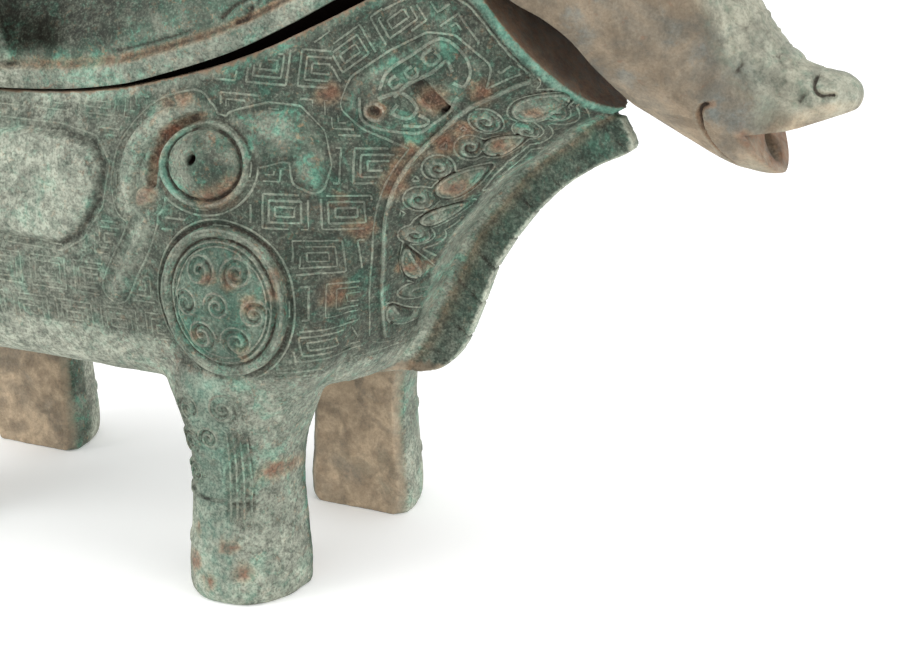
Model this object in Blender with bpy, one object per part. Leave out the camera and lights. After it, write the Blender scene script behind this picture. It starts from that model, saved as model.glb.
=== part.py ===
# Lidded bronze pouring vessel in the shape of a standing horned animal.
# The free form is drawn in form units (255 of them make the overall length), x forward, y to the left, z up,
# with x = 0 just before the middle of the forelegs and z = 0 on the floor. Real sizes are in metres.
import math

import bmesh
import bpy
import numpy as np
from mathutils import Vector

# Driving dimensions in metres
overall_length = 0.190
leg_length = 0.0373
wall = 0.0023
flange_thickness = 0.0026
foot_width = 0.0216
seat_gap = 0.0004
front_gap = 0.0030
relief_height = 0.0010
tongue_depth = 0.0034
tongue_thickness = 0.0016
tongue_clearance = 0.0010
horn_thickness = 0.0100
knob_leg_thickness = 0.0056

# The form's own grid
nose_tip_x = 124.0
tail_tip_x = -130.9
form_length = nose_tip_x - tail_tip_x
unit = overall_length / form_length
drawn_leg_length = 50.0
lift = leg_length / unit - drawn_leg_length
middle_x = (nose_tip_x + tail_tip_x) / 2
wall_u = wall / unit
relief_u = relief_height / unit
bury = 1.6

# Mesh density
side_columns = 28
body_levels = 9
cavity_columns = 22
cavity_levels = 5
ribbon_step = 6.5


def curve(points):
    """Smooth curve through (position, value) points, kept monotone between them."""
    xs = np.array([p[0] for p in points], float)
    ys = np.array([p[1] for p in points], float)
    steps = np.diff(xs)
    slopes = np.diff(ys) / steps
    tangents = np.zeros(len(xs))
    tangents[0] = slopes[0]
    tangents[-1] = slopes[-1]
    for i in range(1, len(xs) - 1):
        if slopes[i - 1] * slopes[i] > 0:
            before = 2 * steps[i] + steps[i - 1]
            after = steps[i] + 2 * steps[i - 1]
            tangents[i] = (before + after) / (before / slopes[i - 1] + after / slopes[i])

    def value(x):
        x = np.clip(x, xs[0], xs[-1])
        i = np.clip(np.searchsorted(xs, x, side="right") - 1, 0, len(steps) - 1)
        t = (x - xs[i]) / steps[i]
        rise = steps[i] * (tangents[i] * t * (1 - t) ** 2 - tangents[i + 1] * t ** 2 * (1 - t))
        return ys[i] + (ys[i + 1] - ys[i]) * t * t * (3 - 2 * t) + rise

    return value


# Profiles of the body, read against height
chest_x = curve([(50, 19), (54, 22.5), (64, 28.2), (74, 34), (84, 39.6), (94.5, 49), (104.5, 58.5), (111, 65.5),
                 (115.5, 73.9), (122, 81), (135, 91), (152, 102)])
rump_x = curve([(50, -119), (58, -124), (75, -126.5), (95, -126.5), (105, -125), (114, -122), (152, -118)])
half_width = curve([(50, 32), (53, 37), (58, 40), (66, 42), (80, 43), (95, 42.3), (105, 40.3), (114, 36.8),
                    (120.5, 36), (125, 34), (131, 32), (139, 28.7), (146, 26.5), (152, 25.5)])
chest_taper = curve([(50, 30), (80, 42), (95, 56), (110, 72), (120, 80), (152, 82)])
chest_point = curve([(50, 0.9), (90, 1.1), (115, 1.5), (152, 1.6)])
rump_taper = 36.0
rump_point = 0.82

# Profiles of the rim, the lid and the head, read against x
rim_z = curve([(-130, 114), (-65, 114.2), (-46.5, 115.1), (-30.5, 117.2), (-17.5, 120.5), (-3.5, 124.8),
               (10, 130.7), (26, 139.1), (36, 144.4), (42, 145.6), (47, 143.6), (54.9, 134.8), (58.9, 129.9),
               (65, 122.9), (70.2, 117.6), (73.9, 115.5), (80, 115)])
gap_share = curve([(-130, 0), (-65, 0), (-30, 0.12), (-10, 0.34), (10, 0.66), (22, 0.85), (36, 1), (130, 1)])
cheek_z = curve([(36, 149.4), (44, 150.3), (50, 147.6), (58, 141.1), (64.7, 137.2), (69.5, 132.7), (72.8, 127),
                 (75, 123.4), (77.7, 117.9), (80, 112)])
ridge_z = curve([(-124, 120), (-112, 129), (-95, 138), (-60, 144), (-20, 149), (10, 158), (36, 168), (52, 174)])
head_top_z = curve([(30, 160), (42, 168), (56, 175), (70, 176.5), (81, 171), (89.5, 160), (95.4, 148), (99.8, 140),
                    (104, 134.5), (108.5, 130.2), (114, 127.8), (120, 126.6), (123, 125.3), (124, 123.5)])
head_low_z = curve([(30, 128), (56, 122), (75, 116.8), (88, 110.4), (99.2, 105.6), (106, 104.6), (109.5, 105.2),
                    (113, 113), (118, 116.6), (123, 119.4), (124, 120.5)])
head_half_width = curve([(30, 24), (42, 27), (58, 27.5), (70, 25.5), (80, 22), (88, 18.8), (95, 16.2), (101, 14.2),
                         (107, 12), (113, 10), (119, 7.8), (122.5, 5.4), (124, 3.2)])
band_height = 4.4

# Haunches over the legs: centre x, then centre and radii of the swelling
leg_places = (-4.0, -102.6)
right_leg_shift = -3.0
leg_corner = 2.4
haunch_centre = (29.0, 73.0)
haunch_radii = (24.0, 16.0, 27.0)
haunch_lead = 1.8
leg_half_width = curve([(0, 0.93), (2, 0.99), (7, 1.0), (12, 0.97), (19, 0.93), (30, 0.9), (38, 0.97),
                        (44, 1.12), (52, 1.32), (62, 1.12)])
leg_inner_y = 20.0
leg_outer_y = curve([(0, 41), (2, 42), (12, 41.6), (30, 40.4), (44, 41.4), (54, 42.6), (62, 40)])


def outline(z, count=240):
    """Half of the body's plan outline at one height, from the chest line round to the rump."""
    front = chest_x(z)
    rear = rump_x(z)
    width = half_width(z)
    turn = np.linspace(0, math.pi / 2, count)
    front_x = front - chest_taper(z) * (1 - np.cos(turn))
    front_y = width * np.sin(turn) ** chest_point(z)
    rear_x = rear + rump_taper * (1 - np.cos(turn))
    rear_y = width * np.sin(turn) ** rump_point
    xs = np.concatenate([front_x, rear_x[::-1]])
    ys = np.concatenate([front_y, rear_y[::-1]])
    return xs, ys


def at_shares(xs, ys, shares):
    """Points at given shares of an outline's own length."""
    lengths = np.concatenate([[0], np.cumsum(np.hypot(np.diff(xs), np.diff(ys)))])
    wanted = shares * lengths[-1]
    return np.interp(wanted, lengths, xs), np.interp(wanted, lengths, ys)


def body_y(x, z):
    """Half width of the bare body at a place on its flank."""
    front_turn = np.arccos(np.clip(1 - (chest_x(z) - x) / chest_taper(z), 0, 1))
    rear_turn = np.arccos(np.clip(1 - (x - rump_x(z)) / rump_taper, 0, 1))
    return half_width(z) * np.minimum(np.sin(front_turn) ** chest_point(z), np.sin(rear_turn) ** rump_point)


def flank_y(x, z):
    """Half width of the body with its haunches."""
    y = body_y(x, z)
    for leg_x in leg_places:
        level = 1 - ((x - leg_x - haunch_lead) / haunch_radii[0]) ** 2 - ((z - haunch_centre[1]) / haunch_radii[2]) ** 2
        if level > 0:
            y = max(y, haunch_centre[0] + haunch_radii[1] * math.sqrt(level))
    return float(y)


def place(x, y, z):
    return Vector(((x - middle_x) * unit, y * unit, (z + lift) * unit))


def body_grid(columns, levels, above_rim=0.0):
    """Half of the outer skin as rows of points from the belly to the rim."""
    shares = np.linspace(0, 1, columns + 1)
    heights = np.linspace(50, 152, 103)
    table = [at_shares(*outline(z), shares) for z in heights]
    table_x = np.array([row[0] for row in table])
    table_y = np.array([row[1] for row in table])
    rows = np.zeros((levels + 1, columns + 1, 3))
    for column in range(columns + 1):
        over = heights - rim_z(table_x[:, column])
        first = int(np.argmax(over > 0))
        share = over[first - 1] / (over[first - 1] - over[first])
        top = heights[first - 1] + share
        for level in range(levels + 1):
            z = 50 + (top + above_rim - 50) * (level / levels) ** 1.15
            rows[level, column] = (np.interp(z, heights, table_x[:, column]),
                                   np.interp(z, heights, table_y[:, column]), z)
    return rows


def loft(mesh, sections):
    """Closed skin through closed sections with equal point counts, with a flat face on both ends."""
    rings = [[mesh.verts.new(place(*point)) for point in section] for section in sections]
    count = len(rings[0])
    for lower, upper in zip(rings, rings[1:]):
        for i in range(count):
            j = (i + 1) % count
            mesh.faces.new((lower[i], lower[j], upper[j], upper[i]))
    mesh.faces.new(list(reversed(rings[0])))
    mesh.faces.new(rings[-1])


def finish(name, mesh):
    """Turns a bmesh into an object with faces outward."""
    bmesh.ops.remove_doubles(mesh, verts=mesh.verts, dist=1e-6)
    bmesh.ops.recalc_face_normals(mesh, faces=mesh.faces)
    data = bpy.data.meshes.new(name)
    mesh.to_mesh(data)
    mesh.free()
    item = bpy.data.objects.new(name, data)
    bpy.context.collection.objects.link(item)
    return item


def solid(name, sections):
    mesh = bmesh.new()
    loft(mesh, sections)
    return finish(name, mesh)


def combine(target, tools, operation):
    """Unites or cuts with each tool in turn and removes the tool."""
    for tool in tools:
        modifier = target.modifiers.new("combine", "BOOLEAN")
        modifier.operation = operation
        modifier.solver = "EXACT"
        modifier.object = tool
        graph = bpy.context.evaluated_depsgraph_get()
        data = bpy.data.meshes.new_from_object(target.evaluated_get(graph))
        target.modifiers.clear()
        target.data = data
        bpy.data.objects.remove(tool)
    return target


def skin_solid(name, rows):
    """Closes half rows and their mirror image over the mid-plane into one body."""
    sections = []
    for row in rows:
        near = [(x, -y, z) for x, y, z in row[1:-1][::-1]]
        sections.append([tuple(p) for p in row] + near)
    mesh = bmesh.new()
    rings = [[mesh.verts.new(place(*point)) for point in section] for section in sections]
    count = len(rings[0])
    for lower, upper in zip(rings, rings[1:]):
        for i in range(count):
            j = (i + 1) % count
            mesh.faces.new((lower[i], lower[j], upper[j], upper[i]))
    for ring in (rings[0], rings[-1]):
        half = count // 2
        mesh.faces.new((ring[0], ring[1], ring[-1]))
        for i in range(1, half - 1):
            mesh.faces.new((ring[i], ring[i + 1], ring[-i - 1], ring[-i]))
        mesh.faces.new((ring[half - 1], ring[half], ring[-half + 1]))
    return finish(name, mesh)


def inner_rows():
    """Rows of the cavity: the outer skin moved in by the wall, and carried on above the rim."""
    rows = body_grid(cavity_columns, cavity_levels, above_rim=0.0)
    along = np.gradient(rows, axis=1)
    upward = np.gradient(rows, axis=0)
    normals = np.cross(along, upward)
    normals /= np.linalg.norm(normals, axis=2, keepdims=True) + 1e-9
    if normals[0, cavity_columns // 2, 1] < 0:
        normals = -normals
    inner = rows - normals * wall_u
    inner[:, 0, 1] = 0
    inner[:, -1, 1] = 0
    floor = 50 + wall_u
    inner[:, :, 2] = np.maximum(inner[:, :, 2], floor)
    bottom = inner[0].copy()
    bottom[:, 0] = middle_x + (bottom[:, 0] - middle_x) * 0.96
    bottom[:, 1] *= 0.93
    bottom[:, 2] = floor
    raised = inner[-1] + (inner[-1] - inner[-2]) * 0.9
    raised[:, 1] = np.maximum(raised[:, 1], 0)
    raised[0, 1] = 0
    raised[-1, 1] = 0
    return np.concatenate([[bottom], inner[1:], [raised]])


def leg(name, centre_x, side):
    """D-shaped leg: flat inside, round outside, wider at the foot and where it joins the haunch."""
    half_foot = foot_width / unit / 2
    sections = []
    for z in (0, 2, 8, 19, 30, 38, 45, 53, 62):
        reach = leg_outer_y(z) - leg_inner_y - leg_corner
        half = half_foot * leg_half_width(z)
        height = z * leg_length / unit / drawn_leg_length if z <= drawn_leg_length else z + lift
        points = []
        for turn in np.linspace(0, math.pi, 8):
            x = centre_x + half * math.copysign(abs(math.cos(turn)) ** 0.85, math.cos(turn))
            y = leg_inner_y + leg_corner + reach * math.sin(turn) ** 0.85
            points.append((x, side * y, height - lift))
        for x in (centre_x - half + leg_corner, centre_x + half - leg_corner):
            points.append((x, side * leg_inner_y, height - lift))
        sections.append(points)
    return solid(name, sections)


def haunch(name, centre_x, side):
    """Rounded swelling of the flank above a leg."""
    sections = []
    for turn in np.linspace(-0.45 * math.pi, 0.45 * math.pi, 8):
        ring = haunch_radii[0] * math.cos(turn)
        depth = haunch_radii[1] * math.cos(turn)
        z = haunch_centre[1] + haunch_radii[2] * math.sin(turn)
        sections.append([(centre_x + ring * math.cos(a), side * (haunch_centre[0] + depth * math.sin(a)), z)
                         for a in np.linspace(0, 2 * math.pi, 14, endpoint=False)])
    return solid(name, sections)


def flange():
    """Thin upright plate down the chest, from the lip to between the forelegs."""
    outer = curve([(48.4, 24), (49.6, 29), (52, 33), (56.4, 37), (65.4, 40.9), (75.4, 44.6), (85.5, 50.6),
                   (95.1, 58.8), (102.2, 68), (107.4, 76)])
    half = flange_thickness / unit / 2
    sections = []
    for z in (48.4, 49.6, 52, 56.4, 61, 66, 72, 78, 84, 90, 95.1, 99.5, 103.5, 107.4):
        root = chest_x(max(z, 51)) - 5
        edge = float(outer(z))
        sections.append([(root, half * 1.7, z), (edge - 6.5, half * 1.15, z), (edge, half, z),
                         (edge, -half, z), (edge - 6.5, -half * 1.15, z), (root, -half * 1.7, z)])
    top = [(68, half * 1.7, 113.4), (69.5, half * 1.15, 113.4), (73.2, half, 113.4),
           (73.2, -half, 113.4), (69.5, -half * 1.15, 113.4), (68, -half * 1.7, 113.4)]
    return solid("flange", sections + [top])


def tail():
    """Tail lying against the rump, with a tuft."""
    sections = []
    path = curve([(56, 1.0), (64, 5.2), (72, 4.4), (86, 2.8), (100, 2.8), (108, 2.2)])
    for z in (56, 59, 64, 69, 74, 86, 98, 105, 109):
        thick = float(path(z))
        back = rump_x(z)
        sections.append([(back + 3 - (thick + 3) * (1 + math.cos(a)) / 2, (1.6 + thick * 0.8) * math.sin(a), z)
                         for a in np.linspace(0, 2 * math.pi, 10, endpoint=False)])
    return solid("tail", sections)


def medallion(name, centre, radii, rings, side, segments=12):
    """Round relief that follows the flank: rings of (share of radius, height over the surface)."""
    cx, cz = centre
    mesh = bmesh.new()

    def point(share, turn, height):
        x = cx + radii[0] * share * math.cos(turn)
        z = cz + radii[1] * share * math.sin(turn)
        return place(x, side * (flank_y(x, z) + height), z)

    turns = np.linspace(0, 2 * math.pi, segments, endpoint=False)
    loops = [[mesh.verts.new(point(1.0, turn, -bury)) for turn in turns]]
    for share, height in rings:
        loops.append([mesh.verts.new(point(share, turn, height)) for turn in turns])
    for lower, upper in zip(loops, loops[1:]):
        for i in range(segments):
            j = (i + 1) % segments
            mesh.faces.new((lower[i], lower[j], upper[j], upper[i]))
    crown = mesh.verts.new(point(0, 0, rings[-1][1]))
    root = mesh.verts.new(point(0, 0, -bury))
    for i in range(segments):
        j = (i + 1) % segments
        mesh.faces.new((loops[-1][i], loops[-1][j], crown))
        mesh.faces.new((loops[0][j], loops[0][i], root))
    return finish(name, mesh)


def ribbon(name, path, width, height, side):
    """Raised band that follows the flank along a path of (x, z) points."""
    path = np.array(path, float)
    lengths = np.concatenate([[0], np.cumsum(np.hypot(*np.diff(path, axis=0).T))])
    steps = max(2, int(lengths[-1] / ribbon_step))
    wanted = np.linspace(0, lengths[-1], steps + 1)
    along_x = curve(list(zip(lengths, path[:, 0])))(wanted)
    along_z = curve(list(zip(lengths, path[:, 1])))(wanted)
    slope_x = np.gradient(along_x)
    slope_z = np.gradient(along_z)
    sections = []
    for x, z, dx, dz in zip(along_x, along_z, slope_x, slope_z):
        size = math.hypot(dx, dz)
        across = (-dz / size, dx / size)
        section = []
        for share, level in ((-0.5, -bury), (-0.36, height), (0.36, height), (0.5, -bury)):
            px = x + across[0] * width * share
            pz = z + across[1] * width * share
            section.append((px, side * (flank_y(px, pz) + level), pz))
        sections.append(section)
    return solid(name, sections)


def carving(side):
    """The carving on one flank that shows from a step away."""
    high = relief_u
    pieces = []
    disc = ((1.0, 0.0), (0.95, high), (0.83, high), (0.79, 0.25 * high), (0.34, 0.3 * high), (0.26, high))
    boss = ((1.0, 0.0), (0.95, high), (0.82, 1.2 * high), (0.76, 0.6 * high), (0.6, 2.2 * high), (0.3, 3.1 * high),
            (0.13, 3.2 * high), (0.1, 1.8 * high))
    for leg_x in leg_places:
        pieces.append(medallion("roundel", (leg_x + haunch_lead, 74), (16.4, 17.2), disc, side))
    pieces.append(medallion("eye", (-7.6, 104.4), (9.6, 8.0), boss, side))
    brow = ((-1, 115.4), (-7.3, 115), (-13.7, 114), (-19.7, 112.2), (-23.8, 108.8), (-26.2, 103.7), (-27.3, 98),
            (-26.4, 92), (-24.6, 86.4), (-27, 79.2), (-29.7, 74.2))
    pieces.append(ribbon("brow", brow, 4.2, high, side))
    crest = ((1, 113.2), (7.1, 114.4), (12.6, 113.6), (16, 110.4), (17.6, 105.1), (18.4, 99))
    pieces.append(ribbon("crest", crest, 5.2, 0.8 * high, side))
    horn = ((31, 115), (28.6, 120), (33.6, 125.6), (40, 129), (45.5, 127.6), (47.6, 123), (44, 117.3), (38.5, 113))
    pieces.append(ribbon("horn curl", horn, 4.6, 0.9 * high, side))
    border = ((62, 118.4), (55, 114.6), (47.9, 107.6), (41, 100), (34.8, 90.6), (30.3, 82.6), (28, 75), (25.6, 66))
    pieces.append(ribbon("chest border", border, 1.8, 0.7 * high, side))
    wing = ((-86, 86), (-80, 97), (-68, 101.5), (-52, 102), (-40, 101), (-35.8, 94), (-38, 86), (-46, 81))
    pieces.append(ribbon("wing", wing, 5.0, 0.8 * high, side))
    return pieces


def vessel():
    body = skin_solid("vessel", body_grid(side_columns, body_levels))
    parts = [flange(), tail()]
    for side in (-1, 1):
        for centre_x in leg_places:
            parts.append(haunch("haunch", centre_x + haunch_lead, side))
            parts.append(leg("leg", centre_x + (right_leg_shift if side < 0 else 0), side))
        parts += carving(side)
    combine(body, parts, "UNION")
    combine(body, [skin_solid("cavity", inner_rows())], "DIFFERENCE")
    return body


def rim_half_width():
    """Half width of the rim, read against x."""
    row = body_grid(80, 4)[-1][::-1]
    return lambda x: np.interp(x, row[:, 0], row[:, 1])


def seat_z(x):
    """Underside of the lid: it rests at the back and stands off toward the front."""
    back = rim_z(x) + (seat_gap + (front_gap - seat_gap) * gap_share(x)) / unit
    if x <= 36:
        return float(back)
    return float(cheek_z(x) + back - rim_z(x) - front_gap / unit)


def dome_sections(stations, inset, base_drop):
    """Cross-sections of the lid's back, from one edge over the ridge to the other."""
    rim = rim_half_width()
    sections = []
    for x in stations:
        width = max(float(rim(x)) - inset, 0.8)
        base = seat_z(x) - base_drop
        shoulder = seat_z(x) + band_height
        top = max(float(ridge_z(x)) - inset, shoulder + 0.6)
        points = [(x, width, base), (x, width, shoulder)]
        for turn in np.linspace(0.12, math.pi - 0.12, 13):
            y = width * 0.985 * math.copysign(abs(math.cos(turn)) ** 0.85, math.cos(turn))
            points.append((x, y, shoulder + (top - shoulder) * math.sin(turn) ** 0.95))
        points += [(x, -width, shoulder), (x, -width, base)]
        sections.append(points)
    return sections


def head_section(x, inset=0.0, segments=18):
    """Cross-section of the head: full above the cheek, narrow toward the jaw."""
    top = float(head_top_z(x)) - inset
    bottom = float(head_low_z(x)) + inset
    width = float(head_half_width(x)) - inset
    middle = bottom + (top - bottom) * 0.46
    points = []
    for turn in np.linspace(0, 2 * math.pi, segments, endpoint=False):
        rise = math.sin(turn)
        if rise >= 0:
            y = width * math.copysign(abs(math.cos(turn)) ** 0.9, math.cos(turn))
            z = middle + (top - middle) * rise
        else:
            y = width * math.copysign(abs(math.cos(turn)) ** 1.25, math.cos(turn))
            z = middle + (middle - bottom) * rise
        points.append((x, y, z))
    return points


def below_seat():
    """Everything under the lid's lower edge, as a cutter."""
    stations = list(np.linspace(-128, 32, 25)) + list(np.linspace(36, 78.6, 18))
    sections = []
    for x in stations:
        z = seat_z(x)
        sections.append([(x, 60, 90), (x, 60, z), (x, -60, z), (x, -60, 90)])
    return solid("below seat", sections)


def tongue():
    """Lip under the lid that stands inside the vessel's rim and keeps the lid from sliding."""
    row = body_grid(14, 4)[-1]
    row = row[(row[:, 0] < 34) & (row[:, 1] > 0)]
    half = [(x, y) for x, y, _ in row]
    path = half + [(row[-1][0] - 1.2, 0.0)] + [(x, -y) for x, y in half[::-1]]
    outer = wall_u + tongue_clearance / unit
    inner = outer + tongue_thickness / unit
    depth = tongue_depth / unit
    sections = []
    for i, (x, y) in enumerate(path):
        before = path[max(i - 1, 0)]
        after = path[min(i + 1, len(path) - 1)]
        along = Vector((after[0] - before[0], after[1] - before[1])).normalized()
        inward = (-along.y, along.x)
        base = seat_z(x)
        profile = ((wall_u * 0.5, 1.2), (wall_u * 0.5, 3.2), (inner, 3.2), (inner, -depth), (outer, -depth), (outer, 1.2))
        sections.append([(x + inward[0] * d, y + inward[1] * d, base + h) for d, h in profile])
    return solid("tongue", sections)


def tube(name, path, radii, segments=10, flat=1.0):
    """Round bar through (x, y, z) points with a radius at each."""
    path = [Vector(point) for point in path]
    sections = []
    for i, centre in enumerate(path):
        along = (path[min(i + 1, len(path) - 1)] - path[max(i - 1, 0)]).normalized()
        first = along.cross(Vector((0, 0, 1)))
        if first.length < 0.3:
            first = along.cross(Vector((1, 0, 0)))
        first.normalize()
        second = along.cross(first)
        sections.append([tuple(centre + first * radii[i] * math.cos(a) + second * radii[i] * flat * math.sin(a))
                         for a in np.linspace(0, 2 * math.pi, segments, endpoint=False)])
    return solid(name, sections)


def mouth():
    """Open mouth: the wedge between the lips, and the hollow in the lower jaw."""
    lips = ((103.6, 114.9), (109.6, 104), (130, 104), (130, 121.5), (123, 119.8), (113.4, 116.4))
    sections = [[(x, y, z) for x, z in lips] for y in (-20, 20)]
    wedge = solid("mouth", sections)
    scoop = tube("scoop", ((97, 0, 111.5), (100, 0, 111.3), (104, 0, 110.6), (110, 0, 109.4)), (2.4, 4.4, 5.4, 5.0),
                 12, 0.8)
    return [wedge, scoop]


def face(side):
    """Eye, nostril, ear and horn on one side of the head."""
    thick = horn_thickness / unit / 2
    horn_path = ((70, 9, 166), (70, 19, 170), (66, 30, 175), (57, 37, 180), (46, 37, 183), (37, 31, 184.5))
    horn_taper = (1.05, 1.05, 0.95, 0.78, 0.52, 0.14)
    horn = tube("horn", [(x, side * y, z) for x, y, z in horn_path], [thick * share for share in horn_taper], 10)
    ear_path = ((60, 22, 160), (56, 28, 161), (51, 35, 161.5), (46, 41, 161))
    ear = tube("ear", [(x, side * y, z) for x, y, z in ear_path], (3.5, 4.6, 4.2, 0.8), 8, 0.55)
    eye_path = ((84, 13, 151.5), (86.3, 17.4, 151.5), (87.4, 19.6, 151.6), (88, 20.6, 151.6))
    eye = tube("eyeball", [(x, side * y, z) for x, y, z in eye_path], (6.2, 5.6, 3.8, 1.2), 10)
    lobe_path = ((112.5, 3.6, 123.6), (115.5, 5.0, 124.0), (118.6, 4.8, 124.2), (121.6, 3.2, 123.8))
    lobe = tube("nostril", [(x, side * y, z) for x, y, z in lobe_path], (1.5, 2.7, 2.8, 1.4), 8, 0.8)
    return [horn, ear, eye, lobe]


def knob():
    """Small beast that straddles the back of the lid and serves as its grip."""
    thick = knob_leg_thickness / unit / 2
    torso = tube("torso", ((-108, 0, 151), (-103, 0, 154.5), (-92, 0, 156.5), (-80, 0, 156.5), (-68, 0, 157.5),
                           (-61, 0, 160.5), (-54, 0, 162.5), (-48, 0, 160.5), (-43, 0, 158.8)),
                 (4, 8, 8.5, 8, 9, 7.6, 7.6, 6.0, 3.2), 10, 0.85)
    parts = []
    for side in (-1, 1):
        fore = ((-67, 7, 155), (-66, 17, 153.5), (-65.5, 26.5, 144), (-65.5, 31.5, 131), (-66, 33.6, 121.5),
                (-65, 33.8, 118))
        hind = ((-99, 7, 153), (-100, 15, 151), (-100, 22.5, 143), (-99, 26.2, 131), (-98, 27, 124), (-96, 27, 119.5))
        for name, path in (("fore leg", fore), ("hind leg", hind)):
            parts.append(tube(name, [(x, side * y, z) for x, y, z in path],
                              [thick * share for share in (1.3, 1.25, 1.0, 0.9, 1.0, 1.15)], 8))
        parts.append(tube("knob ear", ((-60, side * 4.5, 164), (-61, side * 6.5, 169), (-61.5, side * 7.2, 172)),
                          (2.6, 2.4, 0.9), 8, 0.6))
    return [torso] + parts


def lid():
    stations = (-121.6, -120.8, -118.5, -114, -107, -98, -86, -72, -56, -40, -24, -8, 8, 22, 35, 48)
    back = solid("lid", dome_sections(stations, 0.0, 3.0))
    head_x = (30, 42, 54, 64, 73, 80, 86, 91, 95, 98.5, 102, 105, 108, 111, 115, 120, 123, 124)
    parts = [solid("head", [head_section(x) for x in head_x])]
    for side in (-1, 1):
        parts += face(side)
    parts += knob()
    combine(back, parts, "UNION")
    inside_x = (-121.6 + 2 * wall_u, -110, -98, -84, -68, -48, -26, -4, 16, 30, 44.3)
    hollow = solid("hollow", dome_sections(inside_x, wall_u, 12.0))
    throat = solid("throat", [head_section(x, wall_u, 14) for x in (34, 42, 50, 58, 66, 73, 80, 87)])
    combine(back, [below_seat(), hollow, throat] + mouth(), "DIFFERENCE")
    combine(back, [tongue()], "UNION")
    return back


def bronze(name, colour, roughness):
    material = bpy.data.materials.new(name)
    material.use_nodes = True
    shader = material.node_tree.nodes["Principled BSDF"]
    shader.inputs["Base Color"].default_value = (*colour, 1)
    shader.inputs["Roughness"].default_value = roughness
    shader.inputs["Metallic"].default_value = 0.15
    return material


def build():
    for item in list(bpy.data.objects):
        bpy.data.objects.remove(item)
    pieces = ((vessel(), bronze("green patina", (0.16, 0.22, 0.18), 0.8)),
              (lid(), bronze("brown patina", (0.2, 0.18, 0.15), 0.75)))
    for item, material in pieces:
        item.data.materials.clear()
        item.data.materials.append(material)
        item.data.shade_smooth()
        item.data.set_sharp_from_angle(angle=math.radians(38))
        print(item.name, sum(len(face.vertices) - 2 for face in item.data.polygons), "triangles")


build()
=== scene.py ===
import math

import bmesh
import bpy
import numpy as np
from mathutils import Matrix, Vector, noise
from mathutils.bvhtree import BVHTree


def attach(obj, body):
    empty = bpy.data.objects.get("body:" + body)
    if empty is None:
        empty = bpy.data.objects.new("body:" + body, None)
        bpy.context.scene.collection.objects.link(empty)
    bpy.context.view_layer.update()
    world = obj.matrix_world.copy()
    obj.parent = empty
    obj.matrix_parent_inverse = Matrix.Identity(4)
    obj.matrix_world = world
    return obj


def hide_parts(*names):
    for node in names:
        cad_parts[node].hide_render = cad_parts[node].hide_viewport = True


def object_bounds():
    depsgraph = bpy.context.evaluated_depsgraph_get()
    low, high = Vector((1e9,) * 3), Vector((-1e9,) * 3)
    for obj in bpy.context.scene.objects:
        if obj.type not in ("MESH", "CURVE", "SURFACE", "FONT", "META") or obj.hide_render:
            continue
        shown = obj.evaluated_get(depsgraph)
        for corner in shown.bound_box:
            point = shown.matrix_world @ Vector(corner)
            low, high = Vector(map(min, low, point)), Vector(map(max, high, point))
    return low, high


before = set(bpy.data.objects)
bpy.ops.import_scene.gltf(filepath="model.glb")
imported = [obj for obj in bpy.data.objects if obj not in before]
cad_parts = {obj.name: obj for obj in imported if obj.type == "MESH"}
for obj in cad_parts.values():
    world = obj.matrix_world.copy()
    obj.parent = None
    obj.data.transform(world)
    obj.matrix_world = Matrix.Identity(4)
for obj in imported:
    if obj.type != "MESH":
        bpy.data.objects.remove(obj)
cadLow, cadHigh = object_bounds()
print("frame loaded", len(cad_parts), "nodes")

# The object is drawn in the same form units as its solids: x forward, y left, z up, 254.9 of them long
form = dict(noseX=124.0, tailX=-130.9, lift=0.0414)
unit = (cadHigh.x - cadLow.x) / (form["noseX"] - form["tailX"])
middleX = (form["noseX"] + form["tailX"]) / 2
fine = 0.00034   # voxel of the skins


def curve(*spots):
    # smooth, monotone between its points
    xs = np.array([p[0] for p in spots], float)
    ys = np.array([p[1] for p in spots], float)
    steps = np.diff(xs)
    slopes = np.diff(ys) / steps
    lean = np.zeros(len(xs))
    lean[0], lean[-1] = slopes[0], slopes[-1]
    for i in range(1, len(xs) - 1):
        if slopes[i - 1] * slopes[i] > 0:
            before = 2 * steps[i] + steps[i - 1]
            after = steps[i] + 2 * steps[i - 1]
            lean[i] = (before + after) / (before / slopes[i - 1] + after / slopes[i])

    def value(x):
        x = np.clip(x, xs[0], xs[-1])
        i = np.clip(np.searchsorted(xs, x, side="right") - 1, 0, len(steps) - 1)
        t = (x - xs[i]) / steps[i]
        rise = steps[i] * (lean[i] * t * (1 - t) ** 2 - lean[i + 1] * t ** 2 * (1 - t))
        return ys[i] + (ys[i + 1] - ys[i]) * t * t * (3 - 2 * t) + rise

    return value


# Profiles of the vessel against height
chestX = curve((50, 19), (54, 22.5), (64, 28.2), (74, 34), (84, 39.6), (94.5, 49), (104.5, 58.5), (111, 65.5),
               (115.5, 73.9), (122, 81), (135, 91), (152, 102))
rumpX = curve((50, -119), (58, -124), (75, -126.5), (95, -126.5), (105, -125), (114, -122), (152, -118))
halfWidth = curve((50, 32), (53, 37), (58, 40), (66, 42), (80, 43), (95, 42.3), (105, 40.3), (114, 36.8),
                  (120.5, 36),
                  (125, 34), (131, 32), (139, 28.7), (146, 26.5), (152, 25.5))
chestTaper = curve((50, 30), (80, 42), (95, 56), (110, 72), (120, 80), (152, 82))
chestPoint = curve((50, 0.9), (90, 1.1), (115, 1.5), (152, 1.6))
rimZ = curve((-130, 114), (-65, 114.2), (-46.5, 115.1), (-30.5, 117.2), (-17.5, 120.5), (-3.5, 124.8),
             (10, 130.7),
             (26, 139.1), (36, 144.4), (42, 145.6), (47, 143.6), (54.9, 134.8), (58.9, 129.9), (65, 122.9),
             (70.2, 117.6), (73.9, 115.5), (80, 115))
gapShare = curve((-130, 0), (-65, 0), (-30, 0.12), (-10, 0.34), (10, 0.66), (22, 0.85), (36, 1), (130, 1))
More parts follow.
